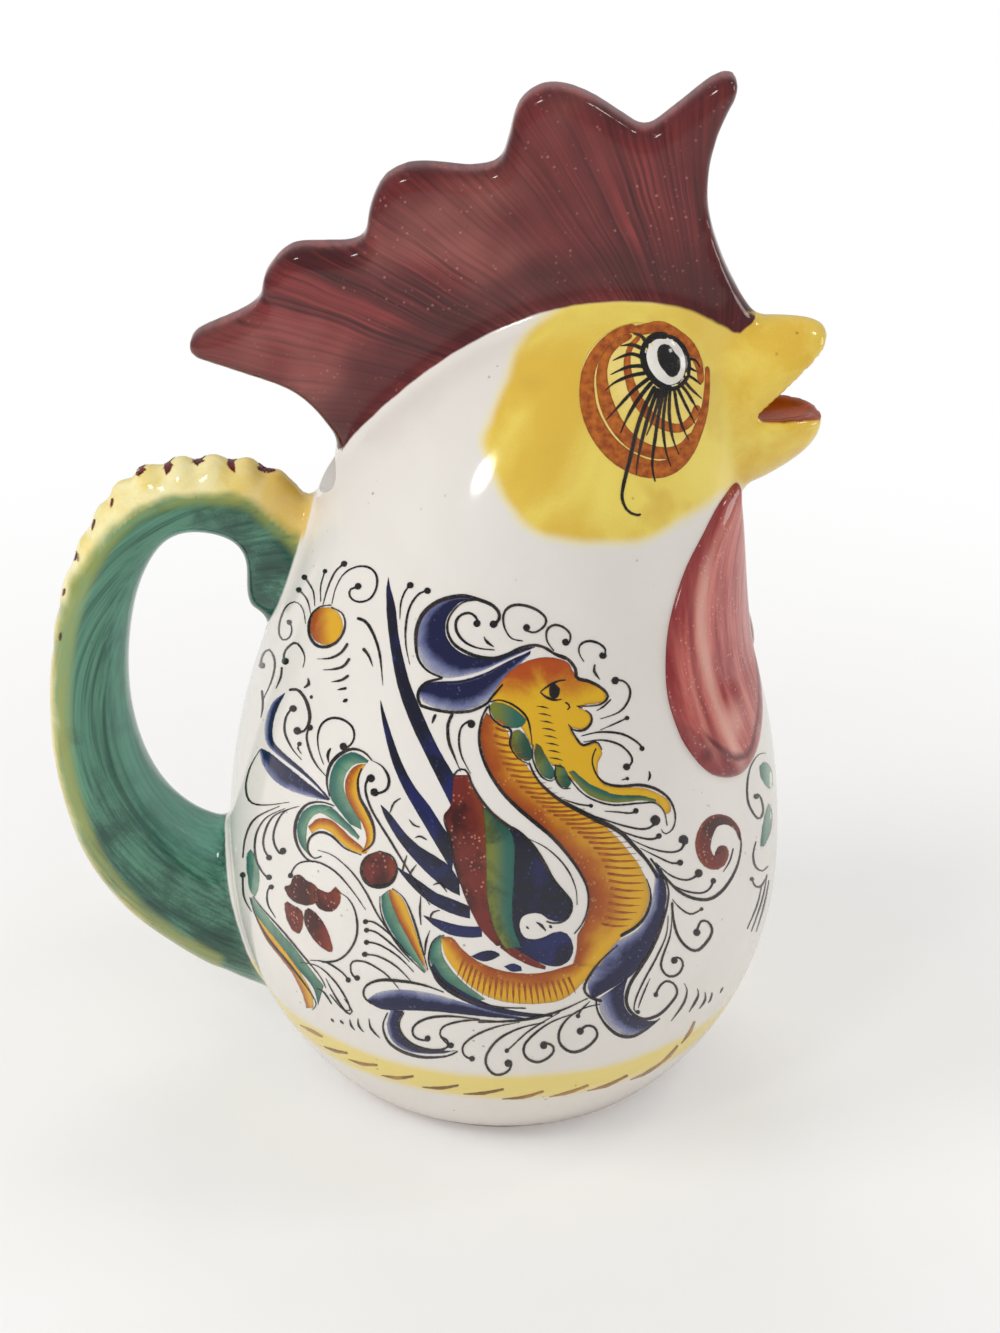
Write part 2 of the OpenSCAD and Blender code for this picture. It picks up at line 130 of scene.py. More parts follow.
def curve(points, u):
    """A place on the smooth curve through the points, where u counts points from 0."""
    i = min(int(u), len(points) - 2)
    t = u - i
    a, b = points[max(i - 1, 0)], points[i]
    c, d = points[i + 1], points[min(i + 2, len(points) - 1)]
    place = b + (c - a) * (t / 2) + (a - b * 2.5 + c * 2 - d / 2) * (t * t)
    return place + ((b - c) * 1.5 + (d - a) / 2) * t ** 3


def smooth(points, steps):
    points = [Vector(p) for p in points]
    return [curve(points, i / steps) for i in range(steps * (len(points) - 1) + 1)]


def smooth_loop(points, steps):
    points = [Vector(p) for p in points]
    looped = [points[-1]] + points + points[:2]
    return [curve(looped, 1 + i / steps) for i in range(steps * len(points))]


# ---------------- the pitcher's forms

def side_r(z):
    half = LOW_HALF if z < BELLY_Z else HIGH_HALF
    return BELLY_R * sqrt(1 - ((z - BELLY_Z) / half) ** 2)


def root_z(x):
    if x < CROWN_X:
        return CROWN_Z - (CROWN_Z - NAPE_Z) * ((CROWN_X - x) / (CROWN_X + NAPE_X)) ** 2
    return CROWN_Z - (CROWN_Z - BROW_Z) * ((x - CROWN_X) / (FACE_X - CROWN_X)) ** 2


def shell_point(t, a, grow=0, short=0, drop=0, slot=COMB_T):
    """A place on the head's shell: t runs from the joint to the comb, and a goes round from the face."""
    c, s = cos(a), sin(a)
    rise = NECK_RISE - NECK_RISE_LESS * c * c
    top_x = SLOT_MID + (SLOT_HALF - short) * c
    top = Vector((top_x, slot / 2 * powered(s, SLOT_POWER), root_z(top_x) - drop))
    foot = Vector(((JOINT_R + grow) * c, (JOINT_R + grow) * s, JOINT_Z))
    neck = foot + Vector((JOINT_SLOPE * c * rise, JOINT_SLOPE * s * rise, rise))
    cheek = Vector((
        CHEEK_MID + (CHEEK_HALF + grow) * c,
        (CHEEK_W / 2 + grow) * s * (1 - EGG_SHARE * c),
        top.z - CHEEK_DROP - CHEEK_TILT * c))
    r = 1 - t
    return foot * r ** 3 + neck * (3 * t * r * r) + cheek * (3 * t * t * r) + top * t ** 3


def strap_point(u, a, grow=0):
    def edge(shares):
        p = curve([Vector(s) for s in shares], u)
        return Vector((-p.x * HANDLE_REACH, 0, mix(HANDLE_LOW_Z, HANDLE_TOP_Z, p.y)))
    outer, inner = edge(OUTER_SHARES), edge(INNER_SHARES)
    half = (outer - inner).length / 2
    out = (outer - inner).normalized()
    side = STRAP_W / 2 * curve([Vector((s, 0)) for s in STRAP_SHARES], u).x
    return (outer + inner) / 2 + out * (half * powered(cos(a), STRAP_POWER) + grow) \
        + Vector((0, side * powered(sin(a), STRAP_POWER), 0))


def crest_at(u):
    wave = 1
    for a, b in zip(CREST_DIPS, CREST_DIPS[1:]):
        if a <= u < b:
            wave = sin(pi * (u - a) / (b - a)) ** FLUTE_POWER
    height = curve([Vector((s, 0)) for s in CREST_SHARES], u).x
    return CREST_H * height * (1 - FLUTE_SHARE * (1 - wave))


# ---------------- making meshes

def sheet(rows, columns, place):
    """A bmesh tube whose points are put in place row by row, closed at both ends."""
    bm = bmesh.new()
    bmesh.ops.create_grid(bm, x_segments=columns, y_segments=rows - 1, size=1)
    bm.verts.ensure_lookup_table()
    for n, v in enumerate(bm.verts):
        i, j = divmod(n, columns + 1)
        v.co = place(i, j % columns)
    bmesh.ops.remove_doubles(bm, verts=bm.verts, dist=1e-4)
    bmesh.ops.holes_fill(bm, edges=[e for e in bm.edges if e.is_boundary], sides=0)
    bmesh.ops.recalc_face_normals(bm, faces=bm.faces)
    if bm.calc_volume(signed=True) < 0:
        bmesh.ops.reverse_faces(bm, faces=bm.faces)
    return bm


def solid(name, bm, scale=MM):
    """Ends a bmesh as an object at the origin, with its place in its mesh."""
    bmesh.ops.scale(bm, vec=(scale,) * 3, verts=bm.verts)
    mesh = bpy.data.meshes.new(name)
    bm.to_mesh(mesh)
    bm.free()
    mesh.polygons.foreach_set("use_smooth", [True] * len(mesh.polygons))
    piece = bpy.data.objects.new(name, mesh)
    bpy.context.scene.collection.objects.link(piece)
    return piece


def settled(piece):
    """Applies the piece's modifiers to its mesh."""
    graph = bpy.context.evaluated_depsgraph_get()
    done = bpy.data.meshes.new_from_object(piece.evaluated_get(graph))
    piece.modifiers.clear()
    old, piece.data = piece.data, done
    bpy.data.meshes.remove(old)
    return piece


def cut(piece, tool):
    """Cuts the tool's form out of the piece and throws the tool away."""
    boolean = piece.modifiers.new("cut", "BOOLEAN")
    boolean.operation = "DIFFERENCE"
    boolean.solver = "EXACT"
    boolean.object = tool
    settled(piece)
    bpy.data.objects.remove(tool)


def joined(name, pieces):
    bm = bmesh.new()
    for piece in pieces:
        bm.from_mesh(piece.data)
        bpy.data.objects.remove(piece)
    return solid(name, bm, 1)


def nearness(piece):
    """A tree of the piece's faces in millimetres, for asking distances and casting rays."""
    bm = bmesh.new()
    bm.from_mesh(piece.data)
    bmesh.ops.scale(bm, vec=(1 / MM,) * 3, verts=bm.verts)
    tree = BVHTree.FromBMesh(bm)
    bm.free()
    return tree


# ---------------- raw clay forms

def clay_body():
    rows_low, rows_high, columns = 90, 100, 320

    def place(i, j):
        a = 2 * pi * j / columns
        if i < rows_low:
            z = mix(FOOT_H, JOINT_Z, i / rows_low)
            return Vector((side_r(z) * cos(a), side_r(z) * sin(a), z))
        return shell_point((i - rows_low) / rows_high, a)
    return solid("clay_body", sheet(rows_low + rows_high + 1, columns, place))


def clay_hollow():
    rows_low, rows_high, columns = 44, 40, 120

    def place(i, j):
        a = 2 * pi * j / columns
        if i < rows_low:
            z = mix(FLOOR_Z, JOINT_Z, i / rows_low)
            return Vector(((side_r(z) - WALL) * cos(a), (side_r(z) - WALL) * sin(a), z))
        return shell_point((i - rows_low) / rows_high, a, -WALL, HOLLOW_SHORT, HOLLOW_DROP, HOLLOW_SLOT)
    return solid("clay_hollow", sheet(rows_low + rows_high + 1, columns, place))


def clay_mouth():
    """The leaf-shaped bar that cuts the filling mouth at the nape."""
    columns = 48

    def place(i, j):
        a = 2 * pi * j / columns
        y = MOUTH_W / 2 * powered(cos(a), MOUTH_POWER)
        return Vector((mix(MOUTH_OUT_X, MOUTH_IN_X, i / 2), y, MOUTH_Z + MOUTH_H / 2 * sin(a)))
    return solid("clay_mouth", sheet(3, columns, place))


def clay_bore():
    bm = bmesh.new()
    place = Matrix.Translation((POUR_X, 0, CORNER_Z + POUR_R - BEAK_WALL)) @ Matrix.Rotation(pi / 2, 4, "Y")
    bmesh.ops.create_cone(
        bm, cap_ends=True, segments=40, radius1=POUR_R, radius2=POUR_R, depth=POUR_LONG, matrix=place)
    return solid("clay_bore", bm)


def comb_line(shares, steps):
    """The places of some of the comb's shares in the side view."""
    long, high = FACE_X + TAIL_X, COMB_Z - NAPE_Z
    return [Vector((p.x * long - TAIL_X, 0, NAPE_Z + p.y * high)) for p in smooth(shares, steps)]


def clay_comb():
    """The comb's side view pulled to its thickness, with a rounded rim."""
    crest, tail = comb_line(COMB_SHARES, 4), comb_line(TAIL_SHARES, 4)
    seat = [SLOT_MID + SLOT_HALF * cos(pi * j / 24) for j in range(25)]
    seat = [mix(SLOT_MID, x, COMB_SEAT_SHARE) for x in seat]
    under = [Vector((x, 0, root_z(x) - COMB_SINK)) for x in seat]
    bm = bmesh.new()
    face = bm.faces.new([bm.verts.new(p - Vector((0, COMB_T / 2, 0))) for p in crest + under + tail])
    face.normal_update()
    made = bmesh.ops.extrude_face_region(bm, geom=[face])["geom"]
    moved = [v for v in made if isinstance(v, bmesh.types.BMVert)]
    bmesh.ops.translate(bm, vec=(0, COMB_T, 0), verts=moved)
    bmesh.ops.recalc_face_normals(bm, faces=bm.faces)
    rims = [e for e in bm.edges if abs(e.verts[0].co.y - e.verts[1].co.y) < 1e-6]
    bmesh.ops.bevel(bm, geom=rims, offset=COMB_RIM, segments=4, profile=0.5, affect="EDGES", material=-1)
    return solid("clay_comb", bm)


def clay_beak(name, root_rim, root_back, tip_rim, tip_back, bend, hollow_share):
    """One half of the beak: arches along X, each with a hollow of the same form inside it."""
    rows, sides = 24, 16
    start = (pi / 2 - 1.2238) / (pi / 2)

    def place(i, j):
        t = i / (rows - 1)
        x = FACE_X - BEAK_ROOT + (BEAK_ROOT + BEAK_REACH) * sin(pi / 2 * t)
        w = BEAK_W / 2 * mix(1, BEAK_NIB_SHARE, t * t)
        rim = mix(root_rim, tip_rim, max(x - FACE_X, 0) / BEAK_REACH)
        back = mix(root_back, tip_back, powered((t - start) / (1 - start), bend))
        if j <= sides:
            a = pi * j / sides
            return Vector((x, w * cos(a), rim + (back - rim) * abs(sin(a)) ** BEAK_POWER))
        a = pi - pi * (j - sides - 1) / sides
        deep = (back - rim) * hollow_share * (1 - 0.85 * t ** 3)
        return Vector((x, max(w - BEAK_WALL, w * 0.33) * cos(a), rim + deep * sin(a)))
    return solid(name, sheet(rows, 2 * sides + 2, place))


def clay_strap():
    rows, columns = 140, 40
    last = len(OUTER_SHARES) - 1
    return solid("clay_strap", sheet(
        rows, columns, lambda i, j: strap_point(last * i / (rows - 1), 2 * pi * j / columns)))


def clay_crest():
    rows, arms = 200, 6

    def place(i, j):
        u = mix(CREST_START, CREST_END, i / (rows - 1))
        if j <= 2 * arms:
            return strap_point(u, mix(-1, 1, j / (2 * arms)) * radians(54), -0.6)
        k = 3 * arms - j
        return strap_point(u, radians(54) * k / arms, crest_at(u) * cos(pi / 2 * k / arms))
    return solid("clay_crest", sheet(rows, 4 * arms, place))


# ---------------- the fused, glazed skin

def soften(bm, verts, times):
    for step in range(times):
        bmesh.ops.smooth_vert(
            bm, verts=verts, factor=0.5, use_axis_x=True, use_axis_y=True, use_axis_z=True)


def make_skin():
    """Joins the raw forms as wet clay is luted, softens the joints, and cuts the hollow and its holes."""
    parts = {
        "body": [clay_body()],
        "comb": [clay_comb()],
        "beak": [
            clay_beak("clay_upper", CORNER_Z, BEAK_TOP_Z, BEAK_TIP_Z, BEAK_TIP_Z + LIP_H / 2, 3, 0.7),
            clay_beak("clay_lower", CORNER_Z, CHIN_Z, CORNER_Z, CORNER_Z - LIP_H, 1, 0.2)],
        "strap": [clay_strap()],
        "crest": [clay_crest()]}
    trees = {name: [nearness(p) for p in pieces] for name, pieces in parts.items()}
    skin = joined("glazed_skin", [p for pieces in parts.values() for p in pieces])
    remesh = skin.modifiers.new("luted", "REMESH")
    remesh.mode = "VOXEL"
    remesh.voxel_size = VOXEL * MM
    settled(skin)

    bm = bmesh.new()
    bm.from_mesh(skin.data)
    bmesh.ops.scale(bm, vec=(1 / MM,) * 3, verts=bm.verts)

    def distance(name, co):
        return min(tree.find_nearest(co)[3] for tree in trees[name])
    soften(bm, bm.verts, 1)
    near_joint = []
    for v in bm.verts:
        ds = sorted(distance(name, v.co) for name in ("body", "comb", "beak", "strap"))
        if ds[1] < JOINT_REACH:
            near_joint.append(v)
    soften(bm, near_joint, JOINT_TURNS)
    soften(bm, bm.verts, 3)
    rims = [v for v in bm.verts if distance("beak", v.co) < 1.5 and distance("body", v.co) > 4]
    soften(bm, rims, 10)
    for v in rims:
        v.co = min((tree.find_nearest(v.co) for tree in trees["beak"]), key=lambda hit: hit[3])[0]
    soften(bm, rims, 2)
    for v in bm.verts:
        other = min(distance(name, v.co) for name in ("comb", "beak", "strap", "crest"))
        place, normal, index, off = trees["body"][0].find_nearest(v.co)
        if off < 1.5 and v.co.z > FOOT_H + 1:
            v.co = v.co.lerp(place, eased(other, 4, 9))
    bmesh.ops.scale(bm, vec=(MM,) * 3, verts=bm.verts)
    bm.to_mesh(skin.data)
    bm.free()
    cut(skin, clay_hollow())
    cut(skin, clay_mouth())
    cut(skin, clay_bore())
    return skin, trees


def mark(piece, name, values):
    """Keeps one number for each point of the piece under a name that its glaze reads."""
    layer = piece.data.attributes.new(name, "FLOAT", "POINT")
    layer.data.foreach_set("value", values)


# ---------------- the camera's rays

AHEAD = Vector((
    sin(CAMERA_YAW) * cos(CAMERA_PITCH), cos(CAMERA_YAW) * cos(CAMERA_PITCH), -sin(CAMERA_PITCH)))
LEVEL = Vector((cos(CAMERA_YAW), -sin(CAMERA_YAW), 0))
UPRIGHT = LEVEL.cross(AHEAD)
RIGHT = LEVEL * cos(CAMERA_ROLL) + UPRIGHT * sin(CAMERA_ROLL)
UP = UPRIGHT * cos(CAMERA_ROLL) - LEVEL * sin(CAMERA_ROLL)


def pixel_ray(x, y):
    across, up = (x - PHOTO_W / 2) / FOCAL_PX, (PHOTO_H / 2 - y) / FOCAL_PX
    return (AHEAD + RIGHT * across + UP * up).normalized()


def pixel_of(co):
    d = co - CAMERA_PLACE
    depth = d.dot(AHEAD)
    return PHOTO_W / 2 + FOCAL_PX * d.dot(RIGHT) / depth, PHOTO_H / 2 - FOCAL_PX * d.dot(UP) / depth


def make_camera():
    data = bpy.data.cameras.new("camera")
    data.sensor_fit = "HORIZONTAL"
    data.sensor_width = 36
    data.lens = 36 * FOCAL_PX / PHOTO_W
    data.clip_start, data.clip_end = 0.05, 20
    camera = bpy.data.objects.new("camera", data)
    bpy.context.scene.collection.objects.link(camera)
    turn = Matrix((RIGHT, UP, -AHEAD)).transposed().to_4x4()
    camera.matrix_world = Matrix.Translation(CAMERA_PLACE * MM) @ turn
    bpy.context.scene.camera = camera


# ---------------- light and floor

def linear(r, g, b):
    """A screen colour of 0 to 255 as the light values that a shader takes."""
    shares = [c / 255 for c in (r, g, b)]
    return tuple(c / 12.92 if c < 0.04 else ((c + 0.055) / 1.055) ** 2.4 for c in shares) + (1.0,)


def make_lamp(name, place, aim, size, power, colour=(1, 1, 1), mirrored=False):
    """A soft lamp at a place in metres; only the mirrored one shows as a glint in the glaze."""
    data = bpy.data.lights.new(name, "AREA")
    data.shape = "DISK"
    data.size = size
    data.energy = power
    data.color = colour
    lamp = bpy.data.objects.new(name, data)
    bpy.context.scene.collection.objects.link(lamp)
    lamp.location = place
    lamp.rotation_mode = "QUATERNION"
    lamp.rotation_quaternion = (Vector(aim) - Vector(place)).to_track_quat("-Z", "Y")
    lamp.visible_glossy = mirrored


def make_studio():
    world = bpy.data.worlds.new("studio")
    bpy.context.scene.world = world
    world.use_nodes = True
    nodes, links = world.node_tree.nodes, world.node_tree.links
    nodes.clear()
    path = nodes.new("ShaderNodeLightPath")
    seen = nodes.new("ShaderNodeMath")
    seen.operation = "MAXIMUM"
    links.new(path.outputs["Is Camera Ray"], seen.inputs[0])
    links.new(path.outputs["Is Transmission Ray"], seen.inputs[1])
    soft, white = nodes.new("ShaderNodeBackground"), nodes.new("ShaderNodeBackground")
    soft.inputs["Color"].default_value = (1, 1, 1, 1)
    soft.inputs["Strength"].default_value = 0.45
    white.inputs["Color"].default_value = (1, 1, 1, 1)
    white.inputs["Strength"].default_value = 1.0
    choose, out = nodes.new("ShaderNodeMixShader"), nodes.new("ShaderNodeOutputWorld")
    links.new(seen.outputs[0], choose.inputs[0])
    links.new(soft.outputs[0], choose.inputs[1])
    links.new(white.outputs[0], choose.inputs[2])
    links.new(choose.outputs[0], out.inputs["Surface"])
    make_lamp("window", (-0.95, -0.35, 0.75), (0, 0, 0.12), 0.6, 5.4, (1, 0.985, 0.965))
    make_lamp("fill", (0.6, -0.95, 0.7), (0, 0, 0.12), 0.8, 1.7, (1, 0.975, 0.94))
    make_lamp("back", (-0.2, 0.9, 0.9), (0, 0, 0.15), 0.8, 3.4)
    make_lamp("glint", (-0.42, -0.62, 0.82), (0, 0, 0.15), 0.16, 1.0, (1, 0.98, 0.95), True)
    make_lamp("side_glint", (0.8, 0.12, 0.34), (0, 0, 0.15), 0.36, 1.0, (1, 0.98, 0.95), True)
    make_lamp("crown_glint", (0.51, 0.06, 0.87), (0.05, 0, 0.2), 0.14, 0.5, (1, 0.98, 0.95), True)

    bm = bmesh.new()
    bmesh.ops.create_grid(bm, x_segments=1, y_segments=1, size=3)
    floor = solid("floor", bm, 1)
    floor.data.materials.append(plain_cloth())


# ---------------- shader building

class Shader:
    """Short ways to add nodes to a material or to a node group."""

    def __init__(self, tree):
        self.tree = tree
        self.nodes, self.links = tree.nodes, tree.links

    def put(self, kind, settings=(), **inputs):
        node = self.nodes.new("ShaderNode" + kind)
        for key, value in dict(settings).items():
            setattr(node, key, value)
        for key, value in inputs.items():
            self.feed(node, key.replace("_", " "), value)
        return node

    def feed(self, node, key, value):
        socket = node.inputs[int(key)] if key.isdigit() else node.inputs[key]
        if isinstance(value, bpy.types.NodeSocket):
            self.links.new(value, socket)
        elif value is not None:
            socket.default_value = value

    def math(self, how, a, b=None, c=None, clamped=False):
        node = self.put("Math", {"operation": how, "use_clamp": clamped})
        for i, value in enumerate((a, b, c)):
            self.feed(node, str(i), value)
        return node.outputs[0]

    def times(self, a, b):
        return self.math("MULTIPLY", a, b)

    def plus(self, a, b):
        return self.math("ADD", a, b)

    def less(self, a, b):
        return self.math("SUBTRACT", a, b)

    def blend(self, share, a, b):
        node = self.put("Mix", {"data_type": "RGBA"})
        self.feed(node, "0", share)
        self.feed(node, "6", a)
        self.feed(node, "7", b)
        return node.outputs[2]

    def ramp(self, value, low, high, to_low=0, to_high=1):
        node = self.put("MapRange", {"interpolation_type": "SMOOTHSTEP", "clamp": True})
        for i, v in enumerate((value, low, high, to_low, to_high)):
            self.feed(node, str(i), v)
        return node.outputs[0]

    def noise(self, vector, scale, detail=2, rough=0.5, distort=0):
        node = self.put(
            "TexNoise", Vector=vector, Scale=scale, Detail=detail, Roughness=rough, Distortion=distort)
        return node.outputs["Fac"]

    def place(self):
        return self.put("TexCoord").outputs["Object"]

    def attribute(self, name):
        return self.put("Attribute", {"attribute_name": name}).outputs["Fac"]

    def stretched(self, vector, scale):
        return self.put("Mapping", Vector=vector, Scale=scale).outputs["Vector"]

    def group(self, tree, **inputs):
        node = self.put("Group", {"node_tree": tree}, **inputs)
        return node.outputs


def new_group(name, inputs, outputs):
    tree = bpy.data.node_groups.new(name, "ShaderNodeTree")
    for label, kind, value in inputs:
        socket = tree.interface.new_socket(name=label, in_out="INPUT", socket_type="NodeSocket" + kind)
        if value is not None:
            socket.default_value = value
    for label, kind in outputs:
        tree.interface.new_socket(name=label, in_out="OUTPUT", socket_type="NodeSocket" + kind)
    shader = Shader(tree)
    return shader, shader.nodes.new("NodeGroupInput").outputs, shader.nodes.new("NodeGroupOutput").inputs


def watery_edge():
    """A mask from a signed distance in millimetres, with the wavering soft edge of thin paint."""
    s, i, o = new_group(
        "watery_edge",
        [("Distance", "Float", 0), ("Softness", "Float", 0.6), ("Waver", "Float", 0.8),
         ("Scale", "Float", 90)],
        [("Mask", "Float")])
    wave = s.times(s.less(s.noise(s.place(), i["Scale"], 3), 0.5), i["Waver"])
    where = s.plus(i["Distance"], s.times(wave, 2))
    low = s.times(i["Softness"], -1)
    s.links.new(s.ramp(where, low, i["Softness"]), o["Mask"])
    return s.tree


def pooled_pigment():
    """Blotches and fine grain of pigment that floated in the glaze, 0 thin and 1 thick."""
    s, i, o = new_group(
        "pooled_pigment",
        [("Scale", "Float", 40), ("Grain", "Float", 0.3)],
        [("Thickness", "Float")])
    broad = s.noise(s.place(), i["Scale"], 3, 0.55, 0.6)
    fine = s.noise(s.place(), 1500, 2, 0.6)
    s.links.new(s.plus(s.ramp(broad, 0.3, 0.7), s.times(s.less(fine, 0.5), i["Grain"])), o["Thickness"])
    return s.tree


def brush_marks():
    """Streaks that a brush leaves along the X of the vector it is given."""
    s, i, o = new_group(
        "brush_marks",
        [("Vector", "Vector", None), ("Fineness", "Float", 1)],
        [("Streak", "Float")])

    def hairs(grain, detail, rough):
        scaled = s.put("VectorMath", {"operation": "MULTIPLY"}, **{"0": i["Vector"], "1": grain})
        return s.noise(scaled.outputs[0], i["Fineness"], detail, rough)
    fine = hairs((12, 900, 900), 4, 0.6)
    broad = hairs((8, 170, 170), 3, 0.5)
    s.links.new(s.plus(s.times(fine, 0.62), s.times(broad, 0.38)), o["Streak"])
    return s.tree


def glaze_surface():
    """The gentle waves of a poured glaze and its rare pinholes, as a normal."""
    s, i, o = new_group(
        "glaze_surface",
        [("Normal", "Vector", None), ("Waves", "Float", 0.25), ("Pinholes", "Float", 0.4)],
        [("Normal", "Vector"), ("Pinhole", "Float")])
    waves = s.noise(s.place(), 38, 2, 0.45)
    cells = s.put("TexVoronoi", Vector=s.place(), Scale=420)
    chance = s.put("TexNoise", Vector=s.place(), Scale=95, Detail=1).outputs["Fac"]
    hole = s.times(s.ramp(cells.outputs["Distance"], 0.1, 0.2, 1, 0), s.ramp(chance, 0.62, 0.7))
    height = s.less(s.times(waves, i["Waves"]), s.times(hole, i["Pinholes"]))
    bump = s.put("Bump", Height=height, Strength=0.18, Distance=0.0012, Normal=i["Normal"])
    s.links.new(bump.outputs["Normal"], o["Normal"])
    s.links.new(hole, o["Pinhole"])
    return s.tree


GROUPS = {}


def tool(make):
    """Each node group is built once, at its first use."""
    if make.__name__ not in GROUPS:
        GROUPS[make.__name__] = make()
    return GROUPS[make.__name__]


def new_material(name):
    material = bpy.data.materials.new(name)
    material.use_nodes = True
    shader = Shader(material.node_tree)
    shader.nodes.clear()
    return material, shader


# Fired glaze: how rough and clear it is, where the base's band lies, and the middles of the brush's sweeps.
GLAZE_ROUGH, GLAZE_COAT, COAT_ROUGH, GLAZE_IOR = 0.1, 0.12, 0.05, 1.5
BAND_Z, BAND_HALF = 26.5, 4.6
COMB_SWEEP, HANDLE_SWEEP = (0.048, 0.172), (-0.05, 0.095)


def glazed(shader, colour, normal, alpha=None):
    """Ends a material as fired glaze: a coloured body under a clear glossy coat."""
    body = shader.put("BsdfPrincipled")
    shader.feed(body, "Base Color", colour)
    shader.feed(body, "Roughness", GLAZE_ROUGH)
    body.inputs["IOR"].default_value = GLAZE_IOR
    body.inputs["Coat Weight"].default_value = GLAZE_COAT
    body.inputs["Coat Roughness"].default_value = COAT_ROUGH
    shader.feed(body, "Normal", normal)
    if alpha is not None:
        shader.feed(body, "Alpha", alpha)
    shader.put("OutputMaterial", Surface=body.outputs[0])


def surface_normal(s, attribute=None):
    if attribute:
        return s.put("Attribute", {"attribute_name": attribute}).outputs["Vector"]
    return s.put("NewGeometry").outputs["Normal"]


def plain_cloth():
    material, s = new_material("pale_floor")
    grain = s.noise(s.place(), 60, 4)
    colour = s.blend(grain, linear(246, 245, 243), linear(250, 249, 248))
    body = s.put("BsdfPrincipled")
    s.feed(body, "Base Color", colour)
    body.inputs["Roughness"].default_value = 0.85
    white = s.put("Emission", Color=(1, 1, 1, 1), Strength=1)
    path = s.put("LightPath")
    away = s.put("VectorMath", {"operation": "LENGTH"}, **{"0": s.place()})
    fade = s.times(s.ramp(away.outputs["Value"], 0.1, 0.42, 0.25, 1), path.outputs["Is Camera Ray"])
    both = s.put("MixShader")
    s.links.new(fade, both.inputs[0])
    s.links.new(body.outputs[0], both.inputs[1])
    s.links.new(white.outputs[0], both.inputs[2])
    s.put("OutputMaterial", Surface=both.outputs[0])
    return material


